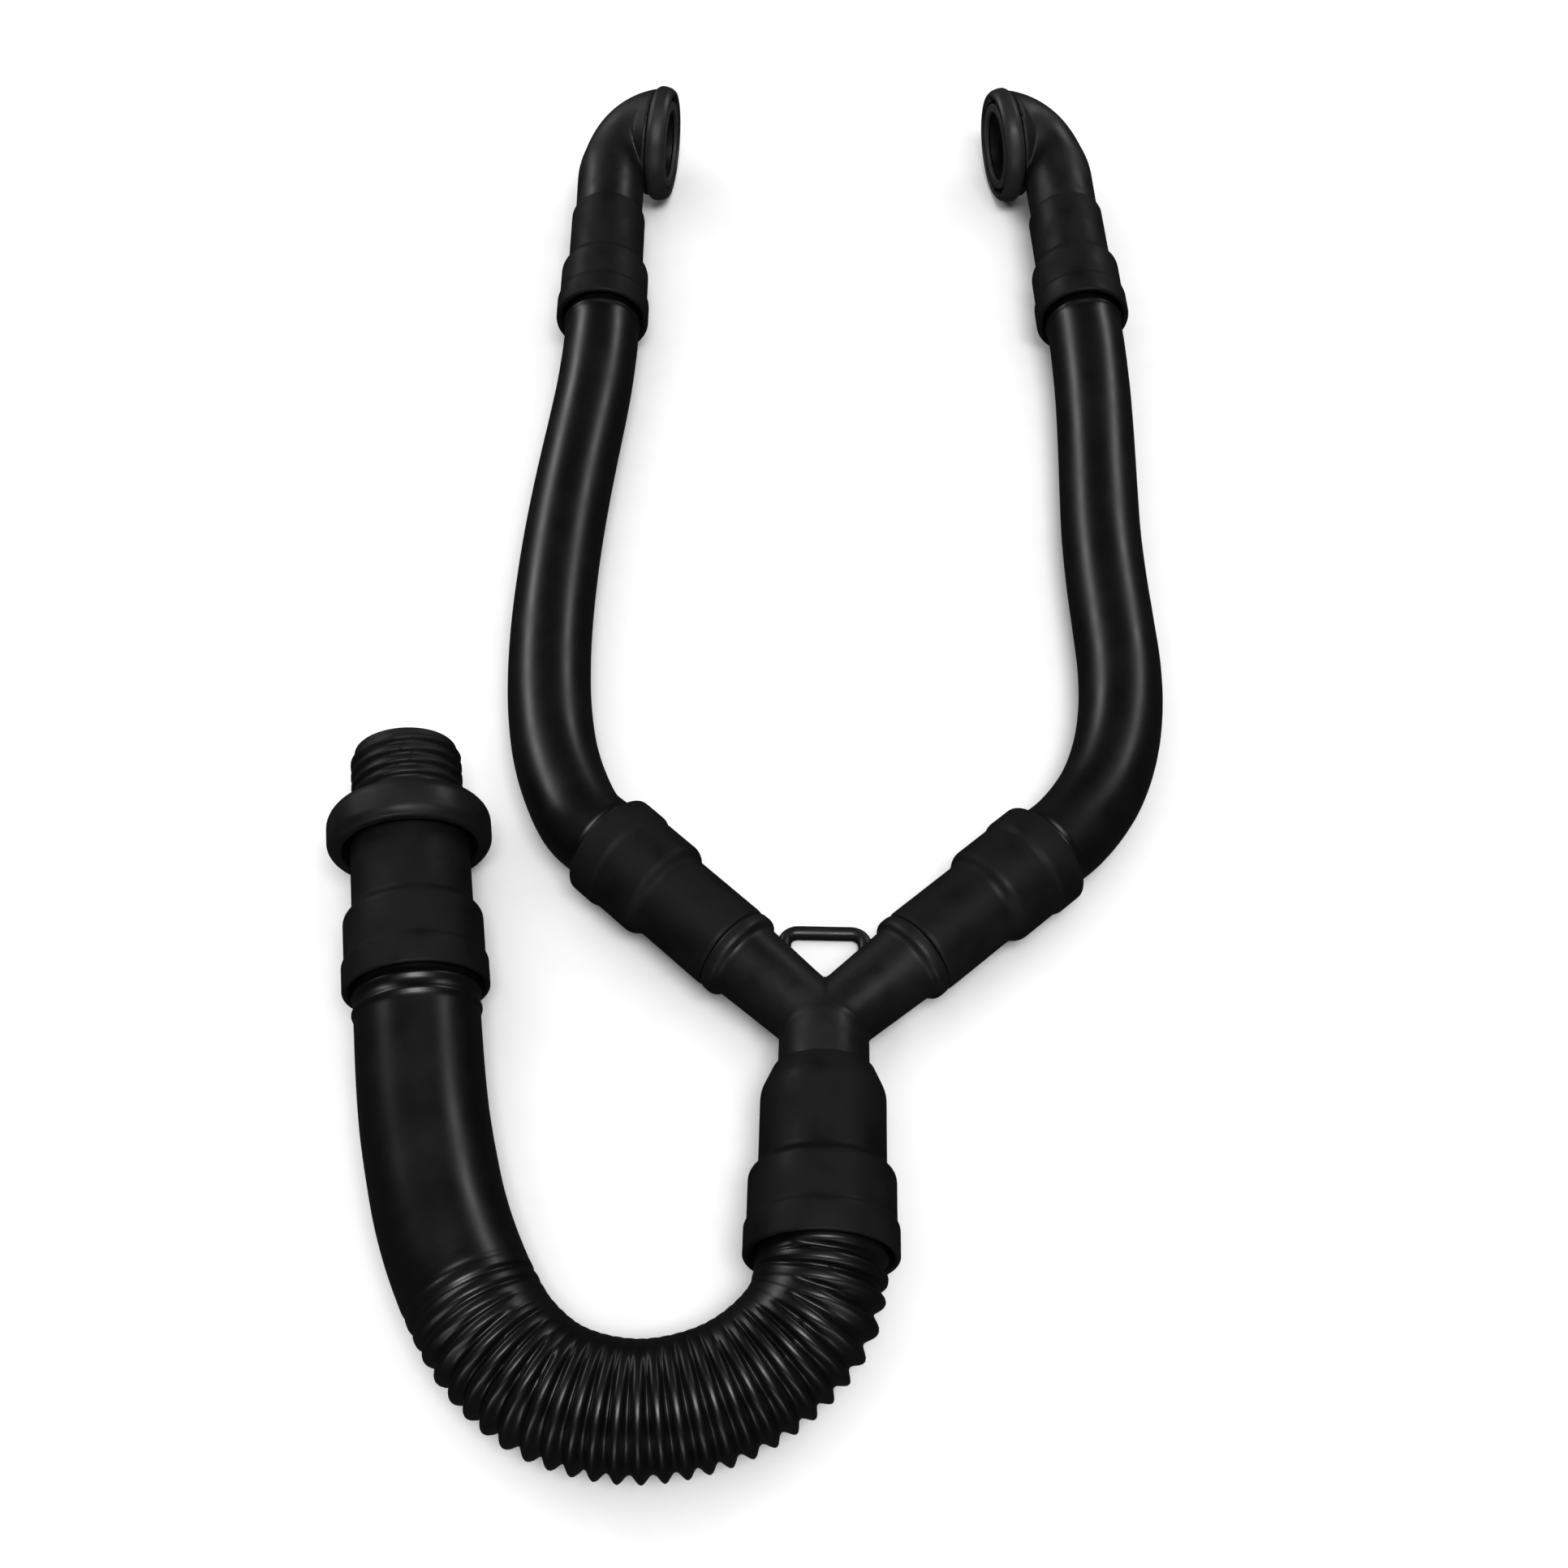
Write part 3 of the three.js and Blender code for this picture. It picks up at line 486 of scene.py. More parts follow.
def main_surface(distance, angle, turn):
    """Smooth where the hose leaves the connector, then ribbed. The ribs open on the outside of
    the bend, where they are pointed, and close up on the inside."""
    pitch = MAIN_RIBS["pitch"]
    ribbed = faded(distance, MAIN_RIBS["start"], MAIN_RIBS["full"])
    outside = np.clip(np.sin(angle) * turn * MAIN_HOSE * MAIN_RIBS["bend"], -1, 1)
    pointed = np.clip(outside, 0, 1) ** 2
    peaks = ribs(distance, pitch, 1.1)
    flats = 1 - ribs(distance + pitch / 2, pitch, 2.5)
    crest = pointed * peaks + (1 - pointed) * flats
    depth = 2.6 + 2.2 * outside - 1.9 * outside ** 2
    depth = ribbed * np.clip(depth, MAIN_RIBS["shallowest"], MAIN_RIBS["deepest"])
    mouth = mouth_distance(LARGE_CUFF)
    rings = [mouth + past for past in MAIN_RINGS]
    swelling = end_rings(distance, distance.max(), rings) * (1 - ribbed)
    return depth * (1 - crest) - swelling


def add_hose(name, node, route, diameter, wall, step, sides, surface, material):
    """One hose, from its seat in one cuff to its seat in the other."""
    obj, line = hose(name, route, diameter, wall, step, sides, surface)
    finished(obj, "hose", "hose_rubber", material, node, angle=80)


def add_hoses(material):
    """The two branch hoses and the ribbed main hose, whose mesh is finer."""
    for side, route in (("left", LEFT_ROUTE), ("right", RIGHT_ROUTE)):
        add_hose("hose_" + side, "branch_hose_" + side, route, BRANCH_HOSE, BRANCH_WALL,
                 0.8, 60, branch_surface, material)
    add_hose("hose_main", "main_hose", MAIN_ROUTE, MAIN_HOSE, MAIN_WALL,
             0.44, 80, main_surface, material)


# ---------------------------------------------------------------- cuffs and ferrules
def spigot_diameter(cuff):
    """The outside of the spigot that fits a cuff."""
    return cuff["bore"] - 2 * GAP


def spigot_reach(cuff):
    """How far that spigot goes into the cuff."""
    return cuff["narrow_length"] + SPIGOT_PAST


def cuff_corners(cuff, hose_diameter):
    """Narrow end at y = 0, hose end at y = -length, with a lip that opens at the mouth."""
    step = -cuff["narrow_length"]
    end = -cuff["length"]
    rim_start = end + RIM_LENGTH
    hose_bore = hose_diameter + 2 * HOSE_GAP
    mouth = hose_bore + 2.4
    return [
        (cuff["bore"], 0, 0.5),
        (cuff["bore"] + 2.6, 0, 1.2),
        (cuff["narrow"], -cuff["cone"], 2.5),
        (cuff["narrow"], step, 4),
        (cuff["wide"], step - CUFF_STEP, 4),
        (cuff["wide"], rim_start + 0.6, 1.2),
        (cuff["rim"], rim_start - 1.2, 1.2),
        (cuff["rim"], end, 1.8),
        (mouth, end, 1),
        (hose_bore, end + 3.5, 1.5),
        (hose_bore, step - HOSE_SHELF, 0.5),
        (cuff["bore"], step - HOSE_SHELF, 0.5),
    ]


def ferrule_corners(cuff, hose_diameter):
    """A flange that the hose's end meets, and a neck inside the spigot."""
    top = -cuff["narrow_length"] - HOSE_SHELF - GAP
    neck = spigot_diameter(cuff) - 2 * SPIGOT_WALL - 2 * GAP
    bore = neck - 2 * FERRULE_WALL
    return [
        (bore, top + FERRULE_NECK, 0.5),
        (neck, top + FERRULE_NECK, 0.6),
        (neck, top, 0.4),
        (hose_diameter, top, 0.6),
        (hose_diameter, top - FERRULE_FLANGE, 0.6),
        (bore, top - FERRULE_FLANGE, 0.5),
    ]


def arm_turn(sign):
    """From the Y-piece's own frame to one of its arms: sign is 1 on the left and -1 on the right."""
    return Matrix.Rotation(math.radians(sign * Y_PIECE["angle"]), 4, "Z")


def add_cuff(name, node, cuff, hose_diameter, matrix, rubber, plastic):
    """A cuff and the ferrule inside it."""
    cuff_piece = turned_object(name, cuff_corners(cuff, hose_diameter), matrix)
    finished(cuff_piece, "hose", "cuff_rubber", rubber, node)
    ferrule_name = name.replace("cuff", "ferrule")
    ferrule = turned_object(ferrule_name, ferrule_corners(cuff, hose_diameter), matrix, 48)
    finished(ferrule, "hose", "inner_plastic", plastic, node.replace("cuff", "ferrule"))


def add_cuffs(rubber, plastic):
    """Six cuffs: below each elbow, on each arm of the Y, on its leg and on the connector."""
    for side, sign in (("left", 1), ("right", -1)):
        upper = place("elbow_" + side) @ Matrix.Translation((0, ELBOW["cuff_top"], 0))
        add_cuff("cuff_upper_" + side, "upper_cuff_" + side, SMALL_CUFF, BRANCH_HOSE, upper,
                 rubber, plastic)
        arm = place("y_piece") @ arm_turn(sign)
        cuff_end = arm @ Matrix.Translation((0, Y_PIECE["arm_reach"], 0))
        lower = cuff_end @ Matrix.Rotation(math.pi, 4, "Z")
        add_cuff("cuff_lower_" + side, "lower_cuff_" + side, SMALL_CUFF, BRANCH_HOSE, lower,
                 rubber, plastic)
    leg = place("y_piece") @ Matrix.Translation((0, -Y_PIECE["leg_reach"], 0))
    add_cuff("cuff_main", "main_cuff", LARGE_CUFF, MAIN_HOSE, leg, rubber, plastic)
    wheel = place("connector") @ Matrix.Translation((0, CUFF_IN_WHEEL, 0))
    add_cuff("cuff_connector", "connector_cuff", LARGE_CUFF, MAIN_HOSE, wheel, rubber, plastic)


# ---------------------------------------------------------------- elbows
def bend_frame(turn):
    """Centre of the elbow's bend and the way out of the bend, at an angle round its ellipse."""
    across, along = ELBOW["across"], ELBOW["along"]
    centre = np.stack([across * (1 - np.cos(turn)), along * (np.sin(turn) - 1)], axis=-1)
    outward = np.stack([-along * np.cos(turn), across * np.sin(turn)], axis=-1)
    return centre, outward / np.linalg.norm(outward, axis=-1, keepdims=True)


def bent_over(points, wall):
    """Points of a solid turned straight along Y, with its top bent over towards +X. On the inside
    of the bend it is flattened before it reaches the middle of the curve."""
    side, along, depth = points.T
    length = ELBOW["length"]
    turn = np.radians(np.clip(along / length, 0, 1) * ELBOW["turn"])
    centre, outward = bend_frame(turn)
    speed = np.hypot(ELBOW["across"] * np.sin(turn), ELBOW["along"] * np.cos(turn))
    curve = speed ** 3 / (ELBOW["across"] * ELBOW["along"])
    in_bend = (along > 0) & (along <= length)
    side = np.where(in_bend, np.minimum(side, INNER_REACH * curve - wall), side)
    beyond = np.maximum(along - length, 0)
    x = centre[:, 0] - side * outward[:, 0] + beyond * outward[:, 1]
    y = centre[:, 1] - side * outward[:, 1] - beyond * outward[:, 0]
    bent = along > 0
    x = np.where(bent, x, side)
    y = np.where(bent, y, along - ELBOW["along"])
    return np.stack([x, y, depth], axis=1)


def port_matrix():
    """From a part turned along Y to its place on the end of the bend."""
    centre, outward = bend_frame(np.radians(ELBOW["turn"]))
    turn = math.atan2(-outward[0], outward[1]) - math.pi / 2
    return Matrix.Translation((centre[0], centre[1], 0)) @ Matrix.Rotation(turn, 4, "Z")


def bend_rings(start, end, begin, power, steps=40):
    """(diameter, distance) rings along the elbow's bend. They widen from one diameter to the
    other, beginning at a part of the way."""
    rings = []
    for part in np.linspace(0, 1, steps + 1):
        widening = max(0, (part - begin) / (1 - begin)) ** power
        rings.append((start + (end - start) * widening, ELBOW["length"] * part))
    return rings


def elbow_shell():
    """The outside of an elbow: stem, flared bend, lip and spigot, in one rounded skin."""
    stem = spigot_diameter(SMALL_CUFF)
    cuff_top = ELBOW["cuff_top"] + ELBOW["along"]
    stem_end = cuff_top - spigot_reach(SMALL_CUFF)
    corners = [(0, stem_end), (stem, stem_end), (stem, cuff_top + GAP),
               (ELBOW["shoulder"], cuff_top + GAP, 0.6)]
    corners += bend_rings(ELBOW["tube"], ELBOW["bell"], 0.25, 1.45)
    corners += [(0, ELBOW["length"])]
    points, faces = turned(rounded(corners), 96, closed=False)
    shell = new_object("elbow_shell", bent_over(points, 0), faces)
    faces_out(shell)
    boolean(shell, port_object(), "UNION")
    remeshed(shell, 0.5)
    relaxed(shell, 5)
    return shell


def port_object():
    """The elbow's lip, and the spigot in front of it with the snap ring's groove."""
    spigot = LOCK_RING["spigot"]
    groove = spigot - 2 * CLIP["groove_depth"]
    groove_back = PORT["ledge"] + GAP / 2
    groove_front = groove_back + CLIP["groove"]
    return solid_object("elbow_port", [
        (0, -LIP["length"]),
        (LIP["root"], -LIP["length"]),
        (LIP["diameter"], -LIP["edge"]),
        (LIP["diameter"], 0),
        (spigot, 0),
        (spigot, groove_back),
        (groove, groove_back),
        (groove, groove_front),
        (spigot, groove_front),
        (spigot, PORT["spigot_face"]),
        (0, PORT["spigot_face"]),
    ], port_matrix())


def elbow_bore():
    """The air way through an elbow, to be cut out of its shell."""
    bore = spigot_diameter(SMALL_CUFF) - 2 * SPIGOT_WALL
    start = ELBOW["cuff_top"] + ELBOW["along"] - spigot_reach(SMALL_CUFF) - CUT_PAST
    end = ELBOW["length"] + PORT["spigot_face"] + CUT_PAST
    corners = [(0, start), (bore, start)]
    corners += bend_rings(bore, PORT["bore"], 0.3, 1)
    corners += [
        (PORT["bore"], ELBOW["length"] + PORT["bore_step"]),
        (PORT["bore"], end),
        (0, end),
    ]
    points, faces = turned(rounded(corners), 72, closed=False)
    air = new_object("elbow_bore", bent_over(points, SPIGOT_WALL), faces)
    faces_out(air)
    return air


def lock_ring_mesh():
    """The ring that turns on the elbow's spigot, with three bayonet lugs inside its mouth."""
    wide, spigot, recess = LOCK_RING["diameter"], LOCK_RING["spigot"], LOCK_RING["recess"]
    face, ledge = PORT["face"], PORT["ledge"]
    hub = spigot + 2 * GAP
    ring = turned_object("lock_ring", [
        (hub, GAP, 0.3),
        (wide - 3, GAP, 0.8),
        (wide, GAP + 2.1, 2),
        (wide, face - 4.4, 2),
        (wide - 1.2, face - 1.8, 2),
        (wide - 4, face, 1.4),
        (recess, face, 0.5),
        (recess, ledge, 0.4),
        (hub, ledge, 0.3),
    ], None, 128)
    for i in range(LUG["count"]):
        boolean(ring, lug_mesh(i * 2 * math.pi / LUG["count"]), "UNION")
    return ring


def lug_mesh(middle):
    """One bayonet lug: an arc-shaped tab with a sloped leading end."""
    outer = LOCK_RING["recess"] / 2 + LUG["in_wall"]
    inner = LOCK_RING["recess"] / 2 - LUG["reach"]
    top = PORT["face"] - LUG["below_face"]
    half = math.radians(LUG["half_angle"])
    steps = 16
    points = []
    for i in range(steps + 1):
        angle = middle + half * (2 * i / steps - 1)
        bottom = top - (LUG["thickness"] - LUG["slope"] * (i / steps) ** 3)
        for radius, y in ((outer, bottom), (inner, bottom), (inner, top), (outer, top)):
            points.append((radius * math.sin(angle), y, radius * math.cos(angle)))
    faces = grid_faces(steps + 1, 4, closed=False)
    last = steps * 4
    faces += [(0, 1, 2, 3), (last + 3, last + 2, last + 1, last)]
    lug = new_object("lug", np.array(points), faces)
    faces_out(lug)
    return lug


def clip_mesh():
    """A flat snap ring in the spigot's groove, open on one side."""
    back = PORT["ledge"] + GAP
    front = back + CLIP["thickness"]
    inside = LOCK_RING["spigot"] / 2 - CLIP["groove_depth"] + GAP
    outside = LOCK_RING["recess"] / 2 - GAP
    edge = CLIP["edge"]
    outline = rounded([
        (2 * inside, back, edge),
        (2 * outside, back, edge),
        (2 * outside, front, edge),
        (2 * inside, front, edge),
    ], steps=3)
    opening = math.radians(CLIP["opening"])
    steps = 90
    points = []
    for i in range(steps + 1):
        angle = math.pi / 2 + opening / 2 + (2 * math.pi - opening) * i / steps
        points += [(r * math.sin(angle), y, r * math.cos(angle)) for r, y in outline]
    count = len(outline)
    faces = grid_faces(steps + 1, count, closed=False)
    faces += [tuple(range(count)), tuple(steps * count + j for j in reversed(range(count)))]
    clip = new_object("clip", np.array(points), faces)
    faces_out(clip)
    return clip


def gasket_mesh():
    """A flat gasket with a shallow dip round its face."""
    back = PORT["spigot_face"] + GAP
    front = back + GASKET["height"]
    return turned_object("gasket", [
        (GASKET["inside"], back, 0.5),
        (GASKET["outside"], back, 0.5),
        (GASKET["outside"], front, 0.8),
        (GASKET["middle"], front - GASKET["dip"], 0.8),
        (GASKET["inside"], front, 0.8),
    ], None)


def copied(source, name, matrix):
    """The same mesh under a new name, at a place given in millimetres."""
    obj = source.copy()
    obj.data = source.data.copy()
    obj.name = name
    obj.data.name = name
    metres = Matrix.Scale(MM, 4) @ matrix @ Matrix.Scale(1 / MM, 4)
    obj.data.transform(metres)
    bpy.context.scene.collection.objects.link(obj)
    return obj


def add_elbows(plastic, ring, steel, seal):
    """Both elbows share their shapes. The right one is turned half round its stem."""
    shell = elbow_shell()
    boolean(shell, elbow_bore(), "DIFFERENCE")
    on_port = {
        "lock_ring": lock_ring_mesh(),
        "lock_ring_clip": clip_mesh(),
        "face_gasket": gasket_mesh(),
    }
    looks = {
        "lock_ring": ("lock_ring_", "moulded_plastic", ring),
        "lock_ring_clip": ("elbow_", "clip_steel", steel),
        "face_gasket": ("elbow_", "seal_rubber", seal),
    }
    for side, turn in (("left", 0), ("right", math.pi)):
        head = place("elbow_" + side) @ Matrix.Rotation(turn, 4, "Y")
        elbow = copied(shell, "port_elbow_" + side, head)
        finished(elbow, "elbow_" + side, "moulded_plastic", plastic, "elbow_" + side, angle=50)
        for node, source in on_port.items():
            body, slot, material = looks[node]
            piece = copied(source, "port_" + node + "_" + side, head @ port_matrix())
            finished(piece, body + side, slot, material, node + "_" + side)
    for source in (shell, *on_port.values()):
        bpy.data.objects.remove(source)


# ---------------------------------------------------------------- Y-piece and bail
def arm_object(name, sign):
    """One arm: it swells to the collar that the cuff stops at, then goes on as the spigot."""
    arm = Y_PIECE["arm"]
    spigot = spigot_diameter(SMALL_CUFF)
    stop_front = Y_PIECE["arm_reach"] - GAP
    stop_start = stop_front - Y_PIECE["stop_length"]
    tip = Y_PIECE["arm_reach"] + spigot_reach(SMALL_CUFF)
    return solid_object(name, [
        (0, 0),
        (arm, 0),
        (arm + 1.4, stop_start / 2, 6),
        (Y_PIECE["arm_end"], stop_start - 1.5, 1),
        (Y_PIECE["stop"], stop_start, 2),
        (Y_PIECE["stop"], stop_front, 1.8),
        (spigot, stop_front),
        (spigot, tip),
        (0, tip),
    ], arm_turn(sign))


def leg_object():
    """The leg, with a rounded top inside the hub."""
    leg = Y_PIECE["leg"]
    tip = -Y_PIECE["leg_reach"] - spigot_reach(LARGE_CUFF)
    return solid_object("leg", [(0, 2), (leg - 3, 2, 2), (leg, -4, 3), (leg, tip), (0, tip)])


def hub_object():
    """The swelling where the arms meet."""
    radius = Y_PIECE["arm"] / 2 + 0.8
    angles = np.linspace(-math.pi / 2, math.pi / 2, 33)
    outline = np.stack([radius * np.cos(angles), radius * np.sin(angles)], axis=1)
    obj = new_object("hub", *turned(outline, 64, closed=False))
    faces_out(obj)
    return obj


def lug_block():
    """The block under the junction that the bail swings in, before it is drilled."""
    radius, half = BAIL_LUG["radius"], BAIL_LUG["half_width"]
    y, z, root = BAIL["pivot_y"], BAIL["pivot_z"], BAIL_LUG["root_z"]
    angles = np.linspace(math.pi, 2 * math.pi, 25)
    outline = [(y + radius * math.cos(a), z + radius * math.sin(a)) for a in angles]
    outline += [(y + radius, root), (y - radius, root)]
    count = len(outline)
    points = [(x, *point) for x in (-half, half) for point in outline]
    faces = grid_faces(2, count, closed=False)
    faces += [tuple(range(count)), tuple(reversed(range(count, 2 * count)))]
    obj = new_object("lug_block", np.array(points), faces)
    faces_out(obj)
    return obj


def rod(name, diameter, start, end, matrix):
    """A plain round cutter along Y."""
    corners = [(0, start), (diameter, start), (diameter, end), (0, end)]
    return solid_object(name, corners, matrix, 64)


def arm_air(sign):
    """The air way through one arm, which narrows to the spigot's bore."""
    end = Y_PIECE["arm_reach"] + spigot_reach(SMALL_CUFF) + CUT_PAST
    root = Y_PIECE["arm"] - 2 * SPIGOT_WALL
    bore = spigot_diameter(SMALL_CUFF) - 2 * SPIGOT_WALL
    corners = [(0, 0), (root, 0), (bore, end * 0.8), (bore, end), (0, end)]
    return solid_object("arm_air", corners, arm_turn(sign), 64)


def softened_crotch(obj):
    """Rounds the creases where the arms, the leg and the hub meet, and nothing further off."""
    group = obj.vertex_groups.new(name="crotch")
    places = np.array([v.co for v in obj.data.vertices]) / MM
    distance = np.linalg.norm(places - (0, 5, 0), axis=1)
    weights = np.clip((24 - distance) / 6, 0, 1)
    for index in np.nonzero(weights)[0]:
        group.add([int(index)], float(weights[index]), "REPLACE")
    modifier = obj.modifiers.new("crotch", "SMOOTH")
    modifier.vertex_group = "crotch"
    modifier.iterations = 40
    modifier.factor = 0.5
    apply_modifiers(obj)
    obj.vertex_groups.clear()


def add_y_piece(plastic):
    """Its parts are joined in one skin, and the air ways and the bail's hole are then cut out."""
    body = leg_object()
    for part in (hub_object(), lug_block(), arm_object("arm_left", 1), arm_object("arm_right", -1)):
        boolean(body, part, "UNION")
    remeshed(body, 0.55)
    relaxed(body, 2)
    softened_crotch(body)
    leg_bore = spigot_diameter(LARGE_CUFF) - 2 * SPIGOT_WALL
    leg_end = Y_PIECE["leg_reach"] + spigot_reach(LARGE_CUFF) + CUT_PAST
    air = rod("air", leg_bore, 0, -leg_end, None)
    for sign in (1, -1):
        boolean(air, arm_air(sign), "UNION")
    boolean(body, air, "DIFFERENCE")
    pivot = Matrix.Translation((0, BAIL["pivot_y"], BAIL["pivot_z"]))
    across = pivot @ Matrix.Rotation(-math.pi / 2, 4, "Z")
    hole_half = 2 * BAIL_LUG["half_width"]
    boolean(body, rod("bail_hole", BAIL_LUG["hole"], -hole_half, hole_half, across), "DIFFERENCE")
    piece = copied(body, "y_body", place("y_piece"))
    bpy.data.objects.remove(body)
    finished(piece, "hose", "moulded_plastic", plastic, "y_piece", angle=50)


def arc(centre, radius, start, end, steps=10):
    """Points of an arc in the XY plane, with angles in degrees."""
    angles = np.radians(np.linspace(start, end, steps))
    return [(centre[0] + radius * math.cos(a), centre[1] + radius * math.sin(a), 0) for a in angles]


def swept(name, line, diameter, matrix, sides=28):
    """A round wire along a line in the XY plane, which narrows at its ends."""
    line = np.array(line, float)
    radius = diameter / 2
    along = np.gradient(line, axis=0)
    along /= np.linalg.norm(along, axis=1)[:, None]
    up = np.array([0, 0, 1.0])
    side = np.cross(along, up)
    angles = np.arange(sides) * 2 * math.pi / sides
    spoke = side[:, None] * np.cos(angles)[:, None] + up * np.sin(angles)[:, None]
    narrowing = (0.02, 0.6, 0.88)
    rings = [line[0] + spoke[0] * radius * part for part in narrowing]
    rings += list(line[1:-1, None] + spoke[1:-1] * radius)
    rings += [line[-1] + spoke[-1] * radius * part for part in reversed(narrowing)]
    points = np.concatenate(rings)
    count = len(rings)
    faces = grid_faces(count, sides, closed=False)
    faces += [tuple(range(sides)), tuple((count - 1) * sides + j for j in reversed(range(sides)))]
    obj = new_object(name, points, faces, matrix)
    faces_out(obj)
    return obj


def add_bail(paint):
    """A bent wire whose two inturned ends meet inside the lug."""
    half, reach, corner, gap = (BAIL[k] for k in ("half_width", "reach", "corner", "end_gap"))
    line = [(x, 0, 0) for x in (gap, gap + 0.4, gap + 2, half - corner - 1)]
    line += arc((half - corner, corner), corner, -90, 0)
    line += arc((half - corner, reach - corner), corner, 0, 90)
    line += arc((corner - half, reach - corner), corner, 90, 180)
    line += arc((corner - half, corner), corner, 180, 270)
    line += [(-x, 0, 0) for x in (half - corner - 1, gap + 2, gap + 0.4, gap)]
    hinge = place("y_piece") @ Matrix.Translation((0, BAIL["pivot_y"], BAIL["pivot_z"]))
    matrix = hinge @ Matrix.Rotation(math.radians(-BAIL["droop"]), 4, "X")
    bail = swept("bail", line, BAIL["wire"], matrix)
    finished(bail, "bail", "bail_steel", paint, "wire_bail", angle=60)


# ---------------------------------------------------------------- connector
def thread_depth(y, angle):
    """How far the helical thread stands out of its root, at a distance from the wheel's front."""
    first = THREAD["first"]
    last = COUPLING["thread_length"] - THREAD["last_from_tip"]
    phase = ((y - first) / COUPLING["pitch"] - angle / (2 * math.pi)) % 1
    crest = np.clip(THREAD["crest"] - np.abs(phase - 0.5) * THREAD["flank"], 0, 1)
    starting = faded(y, first - THREAD["run_in"], first + THREAD["fade"])
    ends = starting * (1 - faded(y, last - THREAD["fade"], last))
    return (COUPLING["thread"] - COUPLING["root"]) / 2 * crest * ends


def add_coupling(plastic, matrix):
    """The wheel, a skirt round a web, and the threaded nose in front of it."""
    wheel, width, root, recess = (COUPLING[k] for k in ("wheel", "width", "root", "recess"))
    counterbore, web_front = COUPLING["counterbore"], COUPLING["web_front"]
    recess_depth = COUPLING["recess_depth"]
    tip = width + COUPLING["thread_length"]
    outline = rounded([
        (recess, 0, 0.8),
        (wheel - 4, 0, 2),
        (wheel, 2.6, 3),
        (wheel, width - 4, 3),
        (wheel - 6, width, 2.4),
        (root, width, 0.6),
        *[(root, y) for y in np.arange(width + 1.5, tip - 1, 0.3)],
        (root, tip, 0.8),
        (counterbore, tip, 0.5),
        (counterbore, web_front, 0.4),
        (LARGE_CUFF["bore"], web_front, 0.4),
        (LARGE_CUFF["bore"], recess_depth, 0.4),
        (recess, recess_depth, 0.8),
    ])
    sides = 128
    points, faces = turned(outline, sides)
    angle = np.arctan2(points[:, 0], points[:, 2])
    reach = np.hypot(points[:, 0], points[:, 2])
    on_root = (abs(reach - root / 2) < 0.01) & (points[:, 1] > width + 1)
    grown = 1 + np.where(on_root, thread_depth(points[:, 1] - width, angle), 0) / reach
    points[:, 0] *= grown
    points[:, 2] *= grown
    obj = new_object("coupling_wheel", points, faces, matrix)
    faces_out(obj)
    finished(obj, "coupling", "moulded_plastic", plastic, "coupling_ring", angle=50)


def add_stem(inner, matrix):
    """The tube that the wheel turns on, with the flange that keeps the wheel on it."""
    spigot = spigot_diameter(LARGE_CUFF)
    bore = spigot - 2 * SPIGOT_WALL
    back = CUFF_IN_WHEEL - spigot_reach(LARGE_CUFF)
    flange = COUPLING["counterbore"] - 2 * GAP
    flange_back = COUPLING["web_front"] + GAP
    front = COUPLING["width"] + COUPLING["thread_length"] - 2
    stem = turned_object("connector_tube", [
        (bore, back, 0.5),
        (spigot, back, 0.5),
        (spigot, flange_back),
        (flange, flange_back, 0.4),
        (flange, flange_back + 4, 0.6),
        (spigot, flange_back + 5, 0.4),
        (spigot, front, 0.7),
        (bore, front, 0.7),
    ], matrix)
    finished(stem, "hose", "inner_plastic", inner, "connector_stem")


def add_washer(inner, matrix):
    """The slip washer between the cuff's end and the wheel's web."""
    front = COUPLING["recess_depth"] - GAP
    back = front - WASHER["thickness"]
    washer = turned_object("washer", [
        (WASHER["inside"], back, 0.3),
        (WASHER["outside"], back, 0.3),
        (WASHER["outside"], front, 0.3),
        (WASHER["inside"], front, 0.3),
    ], matrix)
    finished(washer, "hose", "inner_plastic", inner, "slip_washer")


def add_thread_seal(seal, matrix):
    """A round ring at the root of the thread."""
    radius = THREAD_SEAL["section"] / 2
    middle = THREAD_SEAL["inside"] / 2 + radius
    height = COUPLING["width"] + GAP + radius
    angles = np.linspace(0, 2 * math.pi, 20, endpoint=False)
    outline = np.stack([middle + radius * np.cos(angles), height + radius * np.sin(angles)], axis=1)
    ring = new_object("thread_ring", *turned(outline, 96), matrix)
    faces_out(ring)
    finished(ring, "coupling", "seal_rubber", seal, "thread_seal")


def add_connector(plastic, inner, seal):
    """The coupling wheel, and what it turns on and seals with."""
    matrix = place("connector")
    add_coupling(plastic, matrix)
    add_stem(inner, matrix)
    add_washer(inner, matrix)
    add_thread_seal(seal, matrix)


# ---------------------------------------------------------------- floor and light
def add_floor():
    """A white table that doesn't show in the rubber's shine."""
    bpy.ops.mesh.primitive_circle_add(vertices=96, radius=6, fill_type="NGON", location=(0, 0, 0))
    floor = bpy.context.object
    floor.name = "floor"
    floor.data.materials.append(floor_paper())
    floor.visible_glossy = False


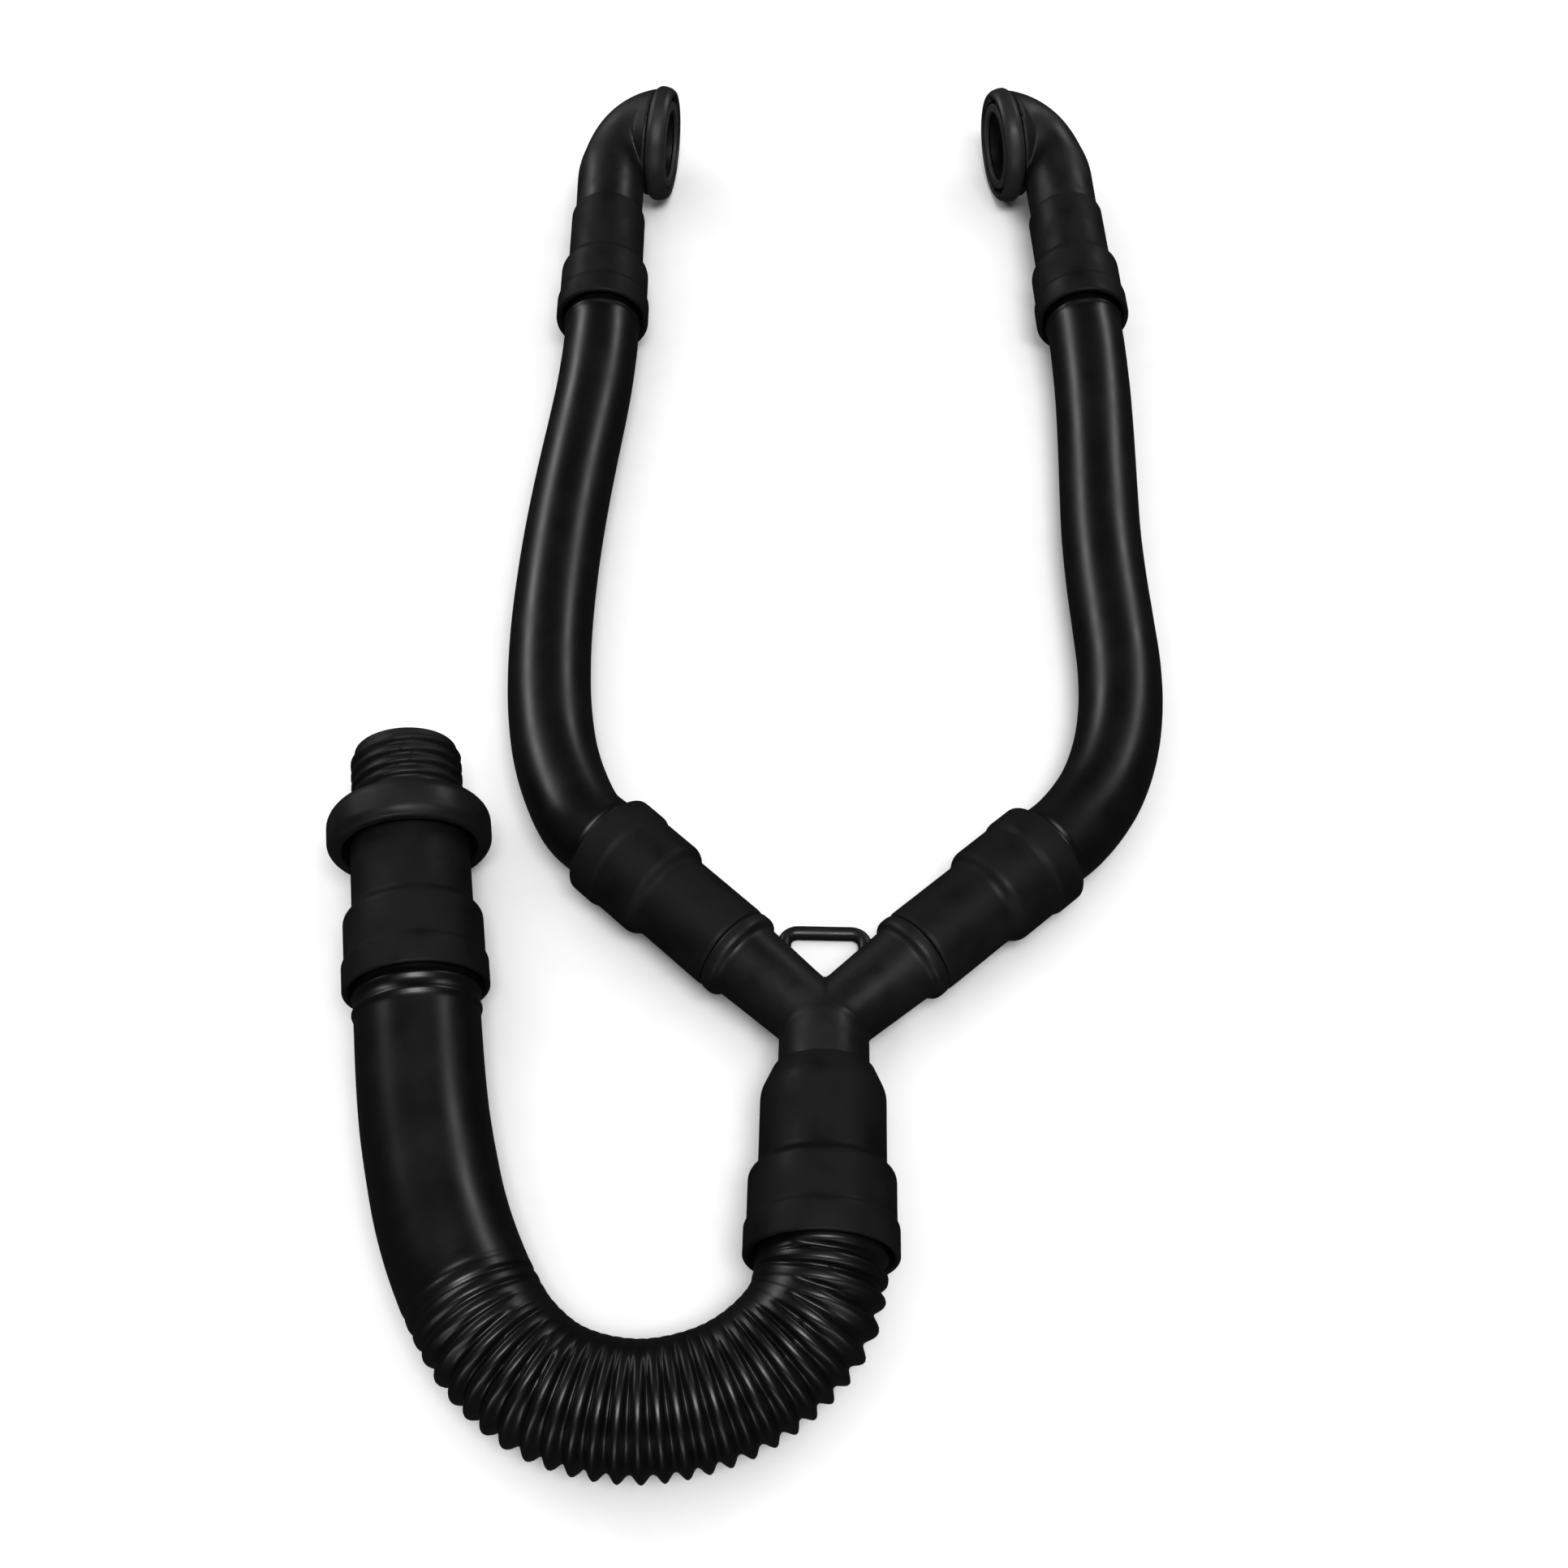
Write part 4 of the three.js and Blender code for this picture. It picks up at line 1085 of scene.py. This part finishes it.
def area_light(name, location, target, size, power, glossy=True):
    """A rectangle of light that faces its target. One that isn't glossy gives diffuse light only."""
    data = bpy.data.lights.new(name, "AREA")
    data.shape = "RECTANGLE"
    data.size, data.size_y = size
    data.energy = power
    light = bpy.data.objects.new(name, data)
    light.location = location
    aim = Matrix.Translation(target).translation - light.location
    light.rotation_euler = aim.to_track_quat("-Z", "Y").to_euler()
    light.visible_camera = False
    light.visible_glossy = glossy
    bpy.context.scene.collection.objects.link(light)


def add_lights():
    """Two long strips behind the object draw the streaks on the rubber, and the key and the front
    light draw the rest of its shine. The wash whitens the paper."""
    area_light("strip_left", (-2.5, 2.6, 1.45), (0, 2.6, 0), (3.5, 0.5), 44)
    area_light("strip_right", (2.3, 2.85, 1.8), (0, 2.85, 0), (3.0, 0.45), 30)
    area_light("key", (0.25, -0.9, 2.1), (0, 0, 0), (0.9, 0.6), 30)
    area_light("front", (0, -2.8, 0.35), (0, 0, 0), (2.2, 0.4), 14)
    area_light("wash", (0, 0, 3.2), (0, 0, 0), (5, 5), 125, glossy=False)
    bpy.context.scene.world = pale_world()
    bpy.context.scene.view_settings.view_transform = "Standard"


def pale_world():
    """A dim, even fill. Where the camera looks past the floor it sees a pale backdrop."""
    world = bpy.data.worlds.new("world")
    world.use_nodes = True
    nodes = world.node_tree.nodes
    links = world.node_tree.links
    fill = nodes["Background"]
    fill.inputs["Color"].default_value = (1, 1, 1, 1)
    fill.inputs["Strength"].default_value = 0.025
    backdrop = nodes.new("ShaderNodeBackground")
    backdrop.inputs["Color"].default_value = (0.9, 0.9, 0.9, 1)
    mix = nodes.new("ShaderNodeMixShader")
    path = nodes.new("ShaderNodeLightPath")
    links.new(path.outputs["Is Camera Ray"], mix.inputs["Fac"])
    links.new(fill.outputs["Background"], mix.inputs[1])
    links.new(backdrop.outputs["Background"], mix.inputs[2])
    links.new(mix.outputs["Shader"], nodes["World Output"].inputs["Surface"])
    return world


def main():
    rubber, plastic = cuff_rubber(), moulded_plastic()
    inner, seal = inner_plastic(), seal_rubber()
    add_camera()
    add_hoses(hose_rubber())
    add_cuffs(rubber, inner)
    add_elbows(plastic, ring_plastic(), clip_steel(), seal)
    add_y_piece(plastic)
    add_bail(bail_paint())
    add_connector(plastic, inner, seal)
    add_floor()
    add_lights()


main()
